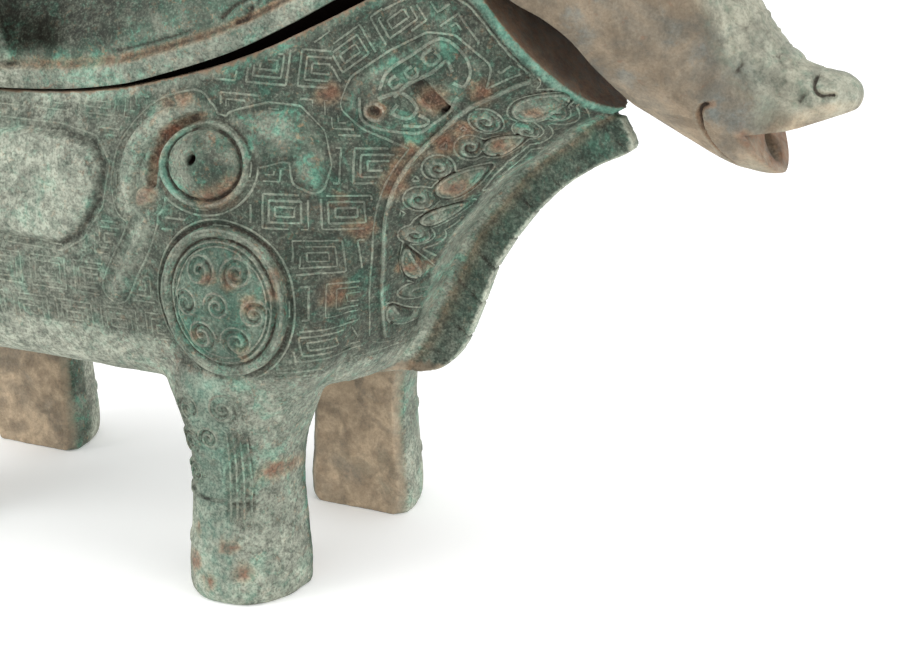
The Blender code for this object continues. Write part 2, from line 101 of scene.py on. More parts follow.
cheekZ = curve((36, 149.4), (44, 150.3), (50, 147.6), (58, 141.1), (64.7, 137.2), (69.5, 132.7), (72.8, 127),
               (75, 123.4), (77.7, 117.9), (80, 112))
ridgeZ = curve((-124, 120), (-112, 129), (-95, 138), (-60, 144), (-20, 149), (10, 158), (36, 168), (52, 174))
headTop = curve((30, 160), (42, 168), (56, 175), (70, 176.5), (81, 171), (89.5, 160), (95.4, 148),
                (99.8, 140),
                (104, 134.5), (108.5, 130.2), (114, 127.8), (120, 126.6), (123, 125.3), (124, 123.5))
headLow = curve((30, 128), (56, 122), (75, 116.8), (88, 110.4), (99.2, 105.6), (106, 104.6), (109.5, 105.2),
                (113, 113), (118, 116.6), (123, 119.4), (124, 120.5))
headWide = curve((30, 24), (42, 27), (58, 27.5), (70, 25.5), (80, 22), (88, 18.8), (95, 16.2), (101, 14.2),
                 (107, 12),
                 (113, 10), (119, 7.8), (122.5, 5.4), (124, 3.2))
legWide = curve((0, 0.93), (2, 0.99), (7, 1.0), (12, 0.97), (19, 0.93), (30, 0.9), (38, 0.97), (44, 1.12),
                (52, 1.32),
                (62, 1.12))
legOuter = curve((0, 41), (2, 42), (12, 41.6), (30, 40.4), (44, 41.4), (54, 42.6), (62, 40))
vesselFit = dict(rumpTaper=36.0, rumpPoint=0.82, wall=0.0023 / unit, faces=194000)
legFit = dict(spots=((-4.0, 1), (-104.6, 1), (-7.0, -1), (-105.6, -1)), footHalf=0.0105 / unit, innerY=20.0,
              corner=2.4)
haunchFit = dict(lead=1.8, legX=(-4.0, -102.6), centre=(29.0, 73.0), radii=(24.0, 16.0, 27.0))


def toMetres(spots):
    spots = np.asarray(spots, float)
    return np.stack([(spots[..., 0] - middleX) * unit, spots[..., 1] * unit,
                     (spots[..., 2] + form["lift"]) * unit], -1)


def toForm(spots):
    spots = np.asarray(spots, float)
    return np.stack([spots[..., 0] / unit + middleX, spots[..., 1] / unit,
                     spots[..., 2] / unit - form["lift"]], -1)


def addObject(name, data):
    item = bpy.data.objects.new(name, data)
    bpy.context.collection.objects.link(item)
    return item


def meshObject(name, mesh):
    data = bpy.data.meshes.new(name)
    mesh.to_mesh(data)
    mesh.free()
    return addObject(name, data)


def faceCount(item):
    return sum(len(p.vertices) - 2 for p in item.data.polygons)


def loft(name, rings):
    # a grid rolled into a skin through equal rings, closed to a point at both ends
    rings = np.asarray(rings, float)
    middleStart = rings[0].mean(0, keepdims=True).repeat(rings.shape[1], 0)
    middleEnd = rings[-1].mean(0, keepdims=True).repeat(rings.shape[1], 0)
    rows = np.concatenate([middleStart[None], rings, middleEnd[None]])
    count, around = len(rows) - 1, rings.shape[1]
    mesh = bmesh.new()
    bmesh.ops.create_grid(mesh, x_segments=around, y_segments=count, size=1)
    spots = toMetres(rows)
    for vert in mesh.verts:
        i = round((vert.co.x + 1) / 2 * around) % around
        j = round((vert.co.y + 1) / 2 * count)
        vert.co = spots[j, i]
    bmesh.ops.remove_doubles(mesh, verts=mesh.verts, dist=1e-6)
    bmesh.ops.recalc_face_normals(mesh, faces=mesh.faces)
    return meshObject(name, mesh)


def baked(item):
    # the object's evaluated mesh takes the place of its own
    graph = bpy.context.evaluated_depsgraph_get()
    data = bpy.data.meshes.new_from_object(item.evaluated_get(graph))
    item.modifiers.clear()
    item.data = data
    return item


def joined(name, items):
    mesh = bmesh.new()
    for item in items:
        mesh.from_mesh(item.data)
        bpy.data.objects.remove(item)
    return meshObject(name, mesh)


def skinned(item, size):
    modifier = item.modifiers.new("skin", "REMESH")
    modifier.mode = "VOXEL"
    modifier.voxel_size = size
    return baked(item)


def cut(item, tools, operation="DIFFERENCE"):
    for tool in tools:
        modifier = item.modifiers.new("cut", "BOOLEAN")
        modifier.operation = operation
        modifier.solver = "MANIFOLD"
        modifier.object = tool
        baked(item)
        bpy.data.objects.remove(tool)
    return item


def thinned(item, most):
    faces = faceCount(item)
    if faces > most:
        modifier = item.modifiers.new("thin", "DECIMATE")
        modifier.ratio = most / faces
        baked(item)
    spots = readSpots(item.data)
    spots[:, 2] = np.maximum(spots[:, 2], 0)
    writeSpots(item.data, spots)
    return item


def readSpots(data):
    spots = np.zeros(len(data.vertices) * 3)
    data.vertices.foreach_get("co", spots)
    return spots.reshape(-1, 3)


def writeSpots(data, spots):
    data.vertices.foreach_set("co", spots.astype(np.float32).ravel())
    data.update()


def formSpots(item):
    return toForm(readSpots(item.data))


def readEdges(data, count):
    # pairs of neighbours, and how many neighbours each point has
    edges = np.zeros(len(data.edges) * 2, int)
    data.edges.foreach_get("vertices", edges)
    return edges.reshape(-1, 2), np.bincount(edges, minlength=count).astype(float)


def readNormals(data):
    normals = np.zeros(len(data.vertices) * 3)
    data.vertex_normals.foreach_get("vector", normals)
    return normals.reshape(-1, 3)


def softened(item, rounds, weight, keep=0.53):
    # evens the skin without shrinking it
    spots = readSpots(item.data)
    count = len(spots)
    edges, share = readEdges(item.data, count)
    for _ in range(rounds):
        for pull in ((0.5, -keep) if keep else (0.5,)):
            mean = np.stack([np.bincount(edges[:, 0], spots[edges[:, 1], k], count)
                             + np.bincount(edges[:, 1], spots[edges[:, 0], k], count) for k in range(3)], -1)
            spots += (mean / share[:, None] - spots) * pull * weight[:, None]
    writeSpots(item.data, spots)


def smooth(low, high, value):
    t = np.clip((value - low) / (high - low), 0, 1)
    return t * t * (3 - 2 * t)


def pathGap(path, x, z, closed=False):
    # distance to a path, and the share of its length at the nearest place
    path = np.array(path, float)
    if closed:
        path = np.concatenate([path, path[:1]])
    lengths = np.concatenate([[0], np.cumsum(np.hypot(*np.diff(path, axis=0).T))])
    best = np.full(x.shape, 1e9)
    along = np.zeros(x.shape)
    for i in range(len(path) - 1):
        ax, az = path[i]
        bx, bz = path[i + 1] - path[i]
        t = np.clip(((x - ax) * bx + (z - az) * bz) / (bx * bx + bz * bz + 1e-12), 0, 1)
        gap = np.hypot(x - ax - t * bx, z - az - t * bz)
        near = gap < best
        best = np.where(near, gap, best)
        along = np.where(near, (lengths[i] + t * (lengths[i + 1] - lengths[i])) / lengths[-1], along)
    return best, along


def lineGap(path, x, z):
    return pathGap(path, x, z)[0]


def inside(path, x, z):
    path = np.array(path, float)
    within = np.zeros(x.shape, bool)
    for (ax, az), (bx, bz) in zip(path, np.roll(path, -1, axis=0)):
        if az != bz:
            crossing = (az > z) != (bz > z)
            within ^= crossing & (x < (bx - ax) * (z - az) / (bz - az) + ax)
    return within


def areaGap(path, x, z):
    # signed distance to an outline, less than nothing inside it
    gap = pathGap(path, x, z, True)[0]
    return np.where(inside(path, x, z), -gap, gap)


def roundPath(path, step=1.0):
    path = np.array(path, float)
    lengths = np.concatenate([[0], np.cumsum(np.hypot(*np.diff(path, axis=0).T))])
    wanted = np.linspace(0, lengths[-1], max(3, int(lengths[-1] / step)))
    return np.stack([curve(*zip(lengths, path[:, 0]))(wanted), curve(*zip(lengths, path[:, 1]))(wanted)], -1)


def bodyTable():
    heights = np.linspace(50, 152, 205)
    turn = np.linspace(0, math.pi / 2, 240)
    shares = np.linspace(0, 1, 241)
    tableX, tableY = np.zeros((205, 241)), np.zeros((205, 241))
    for i, z in enumerate(heights):
        frontX = chestX(z) - chestTaper(z) * (1 - np.cos(turn))
        frontY = halfWidth(z) * np.sin(turn) ** chestPoint(z)
        rearX = rumpX(z) + vesselFit["rumpTaper"] * (1 - np.cos(turn))
        rearY = halfWidth(z) * np.sin(turn) ** vesselFit["rumpPoint"]
        xs, ys = np.concatenate([frontX, rearX[::-1]]), np.concatenate([frontY, rearY[::-1]])
        lengths = np.concatenate([[0], np.cumsum(np.hypot(np.diff(xs), np.diff(ys)))])
        wanted = shares * lengths[-1]
        tableX[i], tableY[i] = np.interp(wanted, lengths, xs), np.interp(wanted, lengths, ys)
    return heights, shares, tableX, tableY


heights, shares, tableX, tableY = bodyTable()


def bodyColumns(columns):
    # for each share of the outline: the rim's height there and a way to read x and y by height
    wanted = np.linspace(0, 1, columns + 1)
    xs = np.stack([np.interp(wanted, shares, row) for row in tableX])
    ys = np.stack([np.interp(wanted, shares, row) for row in tableY])
    tops = []
    for column in range(columns + 1):
        over = heights - rimZ(xs[:, column])
        first = int(np.argmax(over > 0))
        tops.append(heights[first - 1] + 0.5 * over[first - 1] / (over[first - 1] - over[first]))
    return xs, ys, np.array(tops)


# smooth band each side of the flange
bandWide = curve((48, 3), (56, 5), (63, 6.5), (72, 11), (78, 12.4), (85, 12.7), (95, 13.2), (100, 11.6),
                 (104, 8.2),
                 (108, 5.2), (114, 4.6), (118, 3), (152, 3))


def rootX(z):
    # the chest at the edge of that band, where the flange really starts
    turn = np.arcsin(np.clip((bandWide(z) / halfWidth(z)) ** (1 / chestPoint(z)), 0, 1))
    return chestX(z) - chestTaper(z) * (1 - np.cos(turn))


def bodyRows(columns, levels):
    xs, ys, tops = bodyColumns(columns)
    rows = np.zeros((levels + 1, columns + 1, 3))
    for column in range(columns + 1):
        z = 50 + (tops[column] - 50) * np.linspace(0, 1, levels + 1)
        rows[:, column] = np.stack([np.interp(z, heights, xs[:, column]),
                                    np.interp(z, heights, ys[:, column]), z], -1)
    x, y, z = rows[..., 0], rows[..., 1], rows[..., 2]
    share = np.clip(1 - y / bandWide(z), 0, 1)
    flat = rootX(z) + 0.8 * share + (x - rootX(z)) * smooth(104, 114, z)
    rows[..., 0] = np.where((x > 0) & (share > 0), np.minimum(x, flat), x)
    return rows


def mirrored(rows):
    # half rows and their mirror image as whole rings
    other = rows[:, 1:-1][:, ::-1] * (1, -1, 1)
    return np.concatenate([rows, other], 1)


def bodySkin():
    half = bodyRows(110, 60)
    floor = [half[0] * (1, k, 1) for k in np.linspace(0, 0.96, 10)]
    cap = [half[-1] * (1, k, 1) for k in np.linspace(0.96, 0, 12)]
    return loft("body", mirrored(np.concatenate([floor, half, cap])))


def cavitySkin():
    wall = vesselFit["wall"]
    rows = bodyRows(60, 24)
    along, upward = np.gradient(rows, axis=1), np.gradient(rows, axis=0)
    normals = np.cross(along, upward)
    normals /= np.linalg.norm(normals, axis=2, keepdims=True) + 1e-9
    if normals[0, 30, 1] < 0:
        normals = -normals
    inner = rows - normals * wall
    inner[:, (0, -1), 1] = 0
    inner[..., 2] = np.maximum(inner[..., 2], 50 + wall)
    bottom = inner[0] * (1, 0.93, 1)
    bottom[:, 0] = middleX + (bottom[:, 0] - middleX) * 0.96
    bottom[:, 2] = 50 + wall
    raised = inner[-1] + (inner[-1] - inner[-3]) * 1.6
    raised[:, 1] = np.maximum(raised[:, 1], 0)
    raised[(0, -1), 1] = 0
    floor = [bottom * (1, k, 1) for k in np.linspace(0, 0.9, 4)]
    cap = [raised * (1, k, 1) for k in np.linspace(0.9, 0, 4)]
    return loft("cavity", mirrored(np.concatenate([floor, [bottom], inner[1:], [raised], cap])))


def legSkin(centreX, side):
    rings = []
    for z in np.linspace(0, 62, 50):
        reach = legOuter(z) - legFit["innerY"] - legFit["corner"]
        half = legFit["footHalf"] * legWide(z)
        turn = np.linspace(0, math.pi, 40)
        bowX = centreX + half * np.sign(np.cos(turn)) * np.abs(np.cos(turn)) ** 0.85
        bowY = legFit["innerY"] + legFit["corner"] + reach * np.sin(turn) ** 0.85
        flatX = np.linspace(centreX - half + legFit["corner"], centreX + half - legFit["corner"], 14)
        xs = np.concatenate([bowX, flatX])
        ys = np.concatenate([bowY, np.full(14, legFit["innerY"])])
        rings.append(np.stack([xs, side * ys, np.full(54, z)], -1))
    return loft("leg", rings)


def haunchSkin(centreX, side):
    mesh = bmesh.new()
    bmesh.ops.create_uvsphere(mesh, u_segments=64, v_segments=32, radius=1)
    centre = Vector((centreX, side * haunchFit["centre"][0], haunchFit["centre"][1]))
    for vert in mesh.verts:
        vert.co = toMetres(centre + vert.co * Vector(haunchFit["radii"]))
    return meshObject("haunch", mesh)


flangeFit = dict(edge=curve((48.4, 24), (49.6, 29), (52, 32.6), (56.4, 36.2), (65.4, 40), (75.4, 43.8),
                            (85.5, 50),
                            (95.1, 58.4), (102.2, 67.7), (107.4, 76), (113.4, 73.2)),
                 half=0.0013 / unit, fillet=2.6, scorePitch=8.6)


def flangeSkin():
    rings = []
    for z in np.linspace(48.4, 113.4, 90):
        root = float(rootX(max(z, 51)))
        edge = float(flangeFit["edge"](z))
        reach = np.minimum(np.concatenate([np.linspace(-5, 5, 18), np.linspace(5.6, edge - root, 12)]),
                           edge - root)
        thick = flangeFit["half"] + flangeFit["fillet"] * np.clip((4.5 - reach) / 6, 0, 1.3) ** 2
        xs = root + reach
        near = np.stack([xs, thick, np.full(len(xs), z)], -1)
        far = near[::-1] * (1, -1, 1)
        rings.append(np.concatenate([near, far]))
    return loft("flange", rings)


def tailSkin():
    thickAt = curve((56, 1.0), (64, 5.2), (72, 4.4), (86, 2.8), (100, 2.8), (108, 2.2))
    rings = []
    turn = np.linspace(0, 2 * math.pi, 24, endpoint=False)
    for z in np.linspace(56, 109, 40):
        thick = float(thickAt(z))
        xs = rumpX(z) + 3 - (thick + 3) * (1 + np.cos(turn)) / 2
        rings.append(np.stack([xs, (1.6 + thick * 0.8) * np.sin(turn), np.full(24, z)], -1))
    return loft("tail", rings)


# Motifs of the flank, as (x, z) in form units
motif = dict(
    roundels=tuple((x + haunchFit["lead"], 74.0, 14.8, 16.4) for x in haunchFit["legX"]),
    eye=(-7.1, 103.5, 10.0, 8.3), pupil=(-9.1, 104.6),
    brow=roundPath(((-11, 114.4), (-15.4, 113.2), (-20, 110.7), (-23.2, 107), (-25.2, 102.6), (-25.8, 98),
                    (-25, 93.4))),
    streak=roundPath(((-21.6, 90.4), (-23.6, 85), (-26.6, 79.6), (-29.7, 73.6))),
    slot=roundPath(((-9, 113), (-14.4, 111), (-18.2, 107), (-19.8, 102), (-20, 98.4))),
    knob=(-20.9, 95.4, 2.3),
    crest=((-1, 112.8), (7.1, 115.2), (13.1, 115), (16.9, 111.1), (18.7, 105.1), (17.8, 101.5), (15.4, 102.5),
           (14.2, 107.2), (10.8, 107.8), (6.2, 106.4), (3.4, 108.8)),
    wing=((-84, 83), (-60.6, 83.2), (-44.2, 82.8), (-39.1, 85.8), (-34.3, 93.1), (-33, 100.9), (-35.8, 104.8),
          (-44.5, 106.3), (-60.8, 106.3), (-80, 105.5), (-87, 97), (-88, 89)),
    border=roundPath(((59.5, 123.4), (57.8, 122.8), (53.4, 120.6), (48.4, 118), (43.2, 113.6), (37, 107),
                      (32.9, 99.8), (30.3, 90), (28.4, 80), (26.4, 70), (24.5, 62.3))),
    horn=((26.7, 122.2), (33.6, 127.2), (40.5, 130.9), (44.6, 130.6), (50, 126), (49.5, 123.6), (46.6, 122.6),
          (45.6, 119.6), (43.6, 117.3), (37.5, 110.4), (33.4, 112.4), (28.5, 114.8), (25.2, 118)),
    slotHorn=roundPath(((38.9, 122.5), (41.2, 120), (43.4, 117.2))),
    ringHorn=(29.7, 116.9, 2.3),
    strokes=(((31.2, 121.5), (31.9, 124.3), (37.4, 128.9), (42.9, 132.2), (48.9, 125.6), (47.2, 122.5),
              (45.6, 123.4)),
             ((34.0, 120.2), (37.2, 123.2), (41.4, 125.4), (44.2, 127.8), (45.4, 125.6)),
             ((30.8, 119.7), (35.2, 121.1), (38.4, 117.7), (36.2, 115.4), (33.4, 116.8), (34.6, 118.6)),
             ((27.0, 119.8), (26.8, 115.6), (30.6, 112.8), (37.4, 112.2), (41.2, 114.6), (44.2, 117.2),
              (46.2, 120.4)),
             ((38.6, 116.4), (40.4, 114.9), (38.4, 113.7), (35.2, 113.9)),
             ((37.4, 126.5), (36, 125.3), (37.2, 124), (38.7, 125.2), (37.9, 126.3)),
             ((41.3, 130.2), (39.4, 128.6), (41, 126.8), (43, 128.4), (41.8, 129.6)),
             ((34.2, 124.4), (32.9, 123.2), (34.1, 121.9), (35.4, 123.1))),
    leaves=((61, 117.8, 5.4, 2.2, 20), (52, 108.6, 3.4, 1.6, 20), (44.2, 100.6, 4.8, 1.9, 34),
            (39.8, 93, 3.8, 1.1, 26), (32.4, 81.1, 1.2, 3.8, 0), (27.4, 67.5, 1.2, 3.0, 0)),
    curls=((50.4, 114.6, 2.4), (46.4, 108.4, 2.2), (40.6, 104.2, 2.2), (37, 97.4, 2.2), (34.6, 88.6, 2.0),
           (56.6, 111.8, 1.8), (31.4, 73.4, 1.8), (63, 116.4, 1.8)),
)

scrollFit = dict(   # small scrolls as (across, up, size, hand) from the roundel's or the leg's centre
    turns=2.0,
    roundel=((4.6, 7.2, 4.0, 1), (-4.8, 6.8, 4.0, -1), (8.6, -1.4, 3.7, -1), (-8.4, -1.0, 3.8, 1),
             (4.4, -8.0, 4.0, 1), (-4.6, -7.8, 3.9, -1), (0, -0.4, 3.5, 1)),
    leg=((-6.2, 47.0, 3.9, 1), (3.0, 48.4, 4.0, -1), (-7.4, 38.4, 3.6, -1), (-1.2, 40.6, 3.0, 1),
         (-6.6, 30.8, 3.3, 1)),
    upright=((3.2, 21, 43), (4.6, 20, 44), (6.0, 19, 44), (7.4, 20, 42)),
)


def ovalGap(spot, x, z):
    cx, cz, rx, rz = spot[:4]
    return np.hypot((x - cx) / rx, (z - cz) / rz)


def swirl(x, z, cx, cz, size, turns=1.6, hand=1):
    # ridge of a small scroll
    radius = np.hypot(x - cx, z - cz) / size
    angle = np.arctan2(z - cz, (x - cx) * hand) / (2 * math.pi)
    wave = np.abs(((radius * turns - angle) % 1) - 0.5) * 2
    return smooth(0.25, 0.75, 1 - wave) * smooth(1.12, 0.92, radius) * smooth(0.08, 0.2, radius)


def leafField(x, z, leaf):
    cx, cz, long, wide, tilt = leaf
    a = math.radians(tilt)
    u = (x - cx) * math.cos(a) + (z - cz) * math.sin(a)
    v = -(x - cx) * math.sin(a) + (z - cz) * math.cos(a)
    taper = 1 - 0.35 * np.clip(u / long, -1, 1) if long > wide else 1 - 0.3 * np.clip(v / wide, -1, 1)
    return np.hypot(u / long, v / (wide * taper)) if long > wide else np.hypot(u / (long * taper), v / wide)


def motifGap(x, z):
    # distance to the nearest big motif's outline, outside it
    gaps = [(ovalGap(r, x, z) - 1) * 16.8 for r in motif["roundels"]]
    gaps.append((ovalGap(motif["eye"], x, z) - 1.06) * 8.8)
    gaps += [lineGap(motif[name], x, z) - off for name,
             off in (("brow", 2.2), ("streak", 1.6), ("slot", 1.8))]
    gaps += [areaGap(motif[name], x, z) - off for name, off in (("crest", 0.3), ("wing", 0.3), ("horn", 0.5))]
    gaps.append(np.hypot(x - motif["knob"][0], z - motif["knob"][1]) - 2.8)
    return np.min(gaps, axis=0)


def flankRelief(x, z):
    # height of the raised and sunk carving over the bare flank
    out = np.zeros(x.shape)
    for roundel in motif["roundels"]:
        r = ovalGap(roundel, x, z)
        ring = smooth(1.03, 0.985, r) * smooth(0.885, 0.915, r)
        thin = smooth(0.86, 0.845, r) * smooth(0.80, 0.815, r)
        disc = smooth(0.80, 0.775, r)
        cx, cz = roundel[:2]
        curls = np.zeros(x.shape)
        for dx, dz, s, hand in scrollFit["roundel"]:
            curls = np.maximum(curls, swirl(x, z, cx + dx, cz + dz, s, scrollFit["turns"], hand))
        out += ring * 1.25 + thin * 0.5 + disc * (0.1 + 0.6 * curls)
        out -= smooth(1.12, 1.06, r) * smooth(1.02, 1.05, r) * 0.5
        out += 0.10 * smooth(0.7, 0.1, r)
    r = ovalGap(motif["eye"], x, z)
    dome = np.sqrt(np.clip(1 - (r / 0.86) ** 2, 0, 1))
    hole = np.exp(-((x - motif["pupil"][0]) ** 2 + (z - motif["pupil"][1]) ** 2) / 0.9)
    out += smooth(1.12, 1.05, r) * smooth(0.94, 0.99, r) * 1.0 + dome * 2.5 - hole * 2.6 * (r < 0.8)
    out -= smooth(0.96, 0.92, r) * smooth(0.82, 0.87, r) * 0.45
    gap, along = pathGap(motif["brow"], x, z)
    wide = 0.3 + 1.9 * np.sin(along * math.pi) ** 0.7
    out += smooth(wide + 0.45, wide - 0.5, gap) * 1.5
    out += smooth(1.5, 0.3, lineGap(motif["streak"], x, z)) * 0.9
    gap, along = pathGap(motif["slot"], x, z)
    out -= smooth(1.9, 0.6, gap) * 1.5 * smooth(-0.1, 0.2, along)
    r = np.hypot(x - motif["knob"][0], z - motif["knob"][1]) / motif["knob"][2]
    out += np.sqrt(np.clip(1 - r * r, 0, 1)) * 2.4
    out += smooth(0.6, -0.9, areaGap(motif["crest"], x, z)) * 0.95
    wing = areaGap(motif["wing"], x, z)
    out += smooth(0.7, -1.2, wing) * 1.15 - smooth(2.2, 0.9, wing) * smooth(0.2, 0.6, wing) * 0.4
    out += smooth(0.75, 0.2, lineGap(motif["border"], x, z)) * 0.7
    out += smooth(0.5, -0.7, areaGap(motif["horn"], x, z)) * 0.55
    out -= smooth(1.9, 1.0, lineGap(motif["slotHorn"], x, z)) * 1.7
    cx, cz, size = motif["ringHorn"]
    r = np.hypot(x - cx, z - cz) / size
    out += smooth(1.05, 0.9, r) * smooth(0.55, 0.7, r) * 0.6 - smooth(0.55, 0.35, r) * 0.8
    for leaf in motif["leaves"]:
        r = leafField(x, z, leaf)
        out += np.sqrt(np.clip(1 - r * r, 0, 1)) * 1.3 - smooth(1.6, 1.3, r) * smooth(1.02, 1.14, r) * 0.45
    for cx, cz, size in motif["curls"]:
        out += swirl(x, z, cx, cz, size, 1.4) * 0.7
    return out


def legRelief(x, z, centreX):
    # scrolls above, upright grooves beside them, two worn bands below
    out = np.zeros(x.shape)
    u = x - centreX
    for cx, cz, size, hand in scrollFit["leg"]:
        out += swirl(u, z, cx, cz, size, scrollFit["turns"], hand) * 0.6
    band = smooth(1.5, 2.0, u) * smooth(8.2, 7.6, u) * smooth(20, 24, z) * smooth(44, 41, z)
    out -= band * 0.5 * smooth(0.1, 0.5, np.abs((((u - 3.2) / 1.4 + 0.5) % 1) - 0.5) * 2)
    for level in (25.6, 13.2):
        out += smooth(1.0, 0.3, np.abs(z - level - 0.5 * np.sin(u * 0.25))) * 0.4
    return out


def scoreGap(x, z):
    # distance to the nearest score across the flange
    run = ((z - 48) * 0.75 + (x - 30) * 0.66) / flangeFit["scorePitch"]
    return np.abs((run % 1) - 0.5) * flangeFit["scorePitch"]


def flankHeight(x, z, haunches=True):
    # half width of the body with its haunches, as arrays
    front = np.arccos(np.clip(1 - (chestX(z) - x) / chestTaper(z), 0, 1))
    rear = np.arccos(np.clip(1 - (x - rumpX(z)) / vesselFit["rumpTaper"], 0, 1))
    y = halfWidth(z) * np.minimum(np.sin(front) ** chestPoint(z), np.sin(rear) ** vesselFit["rumpPoint"])
    reachX, reachY, reachZ = haunchFit["radii"]
    centreY, centreZ = haunchFit["centre"]
    for legX in haunchFit["legX"] if haunches else ():
        level = 1 - ((x - legX - haunchFit["lead"]) / reachX) ** 2 - ((z - centreZ) / reachZ) ** 2
        y = np.where(level > 0, np.maximum(y, centreY + reachY * np.sqrt(np.clip(level, 0, 1))), y)
    return y


def vesselRelief(spots, normals):
    # how far each point of the bare skin moves out, in form units
    x, y, z = spots.T
    side = np.abs(y)
    onFlank = smooth(-4.5, -1.0, side - flankHeight(x, z)) * smooth(49.5, 53, z)
    onFlank = onFlank * smooth(0.12, 0.3, np.abs(normals[:, 1]))
    rimFade = smooth(0.3, 2.4, rimZ(x) - z)
    band = smooth(0.92, 1.06, side / bandWide(z)) + (chestX(z) - x > 25)
    out = flankRelief(x, z) * onFlank * rimFade * np.clip(band, 0, 1)
    for centreX, hand in legFit["spots"]:
        near = (np.sign(y) == hand) & (np.abs(x - centreX) < 20) & (z < 56)
        strength = smooth(52, 48, z) * smooth(0.1, 0.4, normals[:, 1] * hand)
        strength = strength * smooth(1.0, 3.0, side - legFit["innerY"])
        out += np.where(near, legRelief(x, z, centreX) * strength, 0)
    # two thin lines that run along the rim toward the lip
    drop = rimZ(x) - z
    lines = smooth(0.55, 0.2, np.abs(drop - 3.6)) + smooth(0.5, 0.2, np.abs(drop - 5.0))
    out -= lines * 0.28 * smooth(30, 44, x) * onFlank
    # scores across the flange
    plate = (side < 2.8) & (x > rootX(z) + 3)
    out -= plate * smooth(0.5, 0.1, scoreGap(x, z)) * 0.3 * smooth(7, 3, flangeFit["edge"](z) - x)
    return out


def latticeNoise(spots, scale, seed):
    # value noise on a lattice, quick on many points
    table = np.random.default_rng(seed).random((24, 24, 24))
    where = spots * scale + 100.0
    cell = np.floor(where).astype(int)
    t = where - cell
    t = t * t * (3 - 2 * t)
    out = np.zeros(len(spots))
    for i in (0, 1):
        for j in (0, 1):
            for k in (0, 1):
                weight = np.abs(1 - i - t[:, 0]) * np.abs(1 - j - t[:, 1]) * np.abs(1 - k - t[:, 2])
                out += weight * table[(cell[:, 0] + i) % 24, (cell[:, 1] + j) % 24, (cell[:, 2] + k) % 24]
    return out * 2 - 1


lumpLayers = ((0.16, 3, 0.35), (0.55, 5, 0.12), (1.4, 6, 0.06))      # scale, seed, height


def moved(item, relief, roughness=0.1):
    # pushes the skin along its own normals
    spots = formSpots(item)
    normals = readNormals(item.data)
    lumps = sum(latticeNoise(spots, scale, seed) * high for scale, seed, high in lumpLayers)
    out = relief(spots, normals) + lumps * roughness * 4
    spots += normals * out[:, None]
    spots[:, 2] = np.maximum(spots[:, 2], -form["lift"])
    writeSpots(item.data, toMetres(spots))
    return item


def attribute(item, name, values):
    layer = item.data.attributes.new(name, "FLOAT", "POINT")
    layer.data.foreach_set("value", np.asarray(values, np.float32))


def vesselSkin():
    parts = [bodySkin(), flangeSkin(), tailSkin()]
    for centreX, side in legFit["spots"]:
        parts.append(legSkin(centreX, side))
    for centreX in haunchFit["legX"]:
        for side in (1, -1):
            parts.append(haunchSkin(centreX + haunchFit["lead"], side))
    skin = skinned(joined("vesselBody", parts), fine)
    spots = formSpots(skin)
    joints = smooth(12, 5, np.abs(spots[:, 2] - 57)) * (np.abs(spots[:, 1]) > 18)
    joints *= smooth(0, 3, rimZ(spots[:, 0]) - spots[:, 2]) * smooth(3, 6, spots[:, 2])
    plate = (np.abs(spots[:, 1]) < 3.2) & (spots[:, 0] > rootX(spots[:, 2]) + 2.5)
    softened(skin, 8, np.where(plate, 0.05, 0.35))
    softened(skin, 40, joints, keep=0)
    print("vessel skin", len(skin.data.vertices))
    moved(skin, vesselRelief)
    cut(skin, [cavitySkin()])
    return thinned(skin, vesselFit["faces"])


vesselBody = vesselSkin()
print("vessel cut", faceCount(vesselBody))

rimRow = bodyRows(160, 4)[-1][::-1]


def rimHalf(x):
    return np.interp(x, rimRow[:, 0], rimRow[:, 1])


lidFit = dict(
    band=4.4, seatGap=0.0004 / unit, frontGap=0.0030 / unit, faces=190000,
    tongueIn=0.0010 / unit, tongueThick=0.0016 / unit, tongueDeep=0.0034 / unit,
    hooks=(((-5.4, 134.2), (-2.8, 136.6), (1.4, 139.2)), ((-2, 133.4), (0.4, 134.2), (1.4, 136.4))),
    lips=((103.6, 114.9), (106.6, 109.4), (109.6, 104), (120, 104), (130, 104), (130, 121.5), (123, 119.8),
          (118, 118), (113.4, 116.4)),
    scoop=(((97, 0, 111.5), (100, 0, 111.3), (104, 0, 110.6), (110, 0, 109.4)),
           (1.5, 2.8, 3.5, 3.3), 28, 0.8, 20),
    torso=(((-108, 0, 151), (-103, 0, 154.5), (-92, 0, 156.5), (-80, 0, 156.5), (-68, 0, 157.5),
            (-61, 0, 160.5), (-54, 0, 162.5), (-48, 0, 160.5), (-43, 0, 158.8)),
           (4, 8, 8.5, 8, 9, 7.6, 7.6, 6.0, 3.2), 28, 0.85, 60),
)
legThick = tuple(3.76 * k for k in (1.3, 1.25, 1.0, 0.9, 1.0, 1.15))
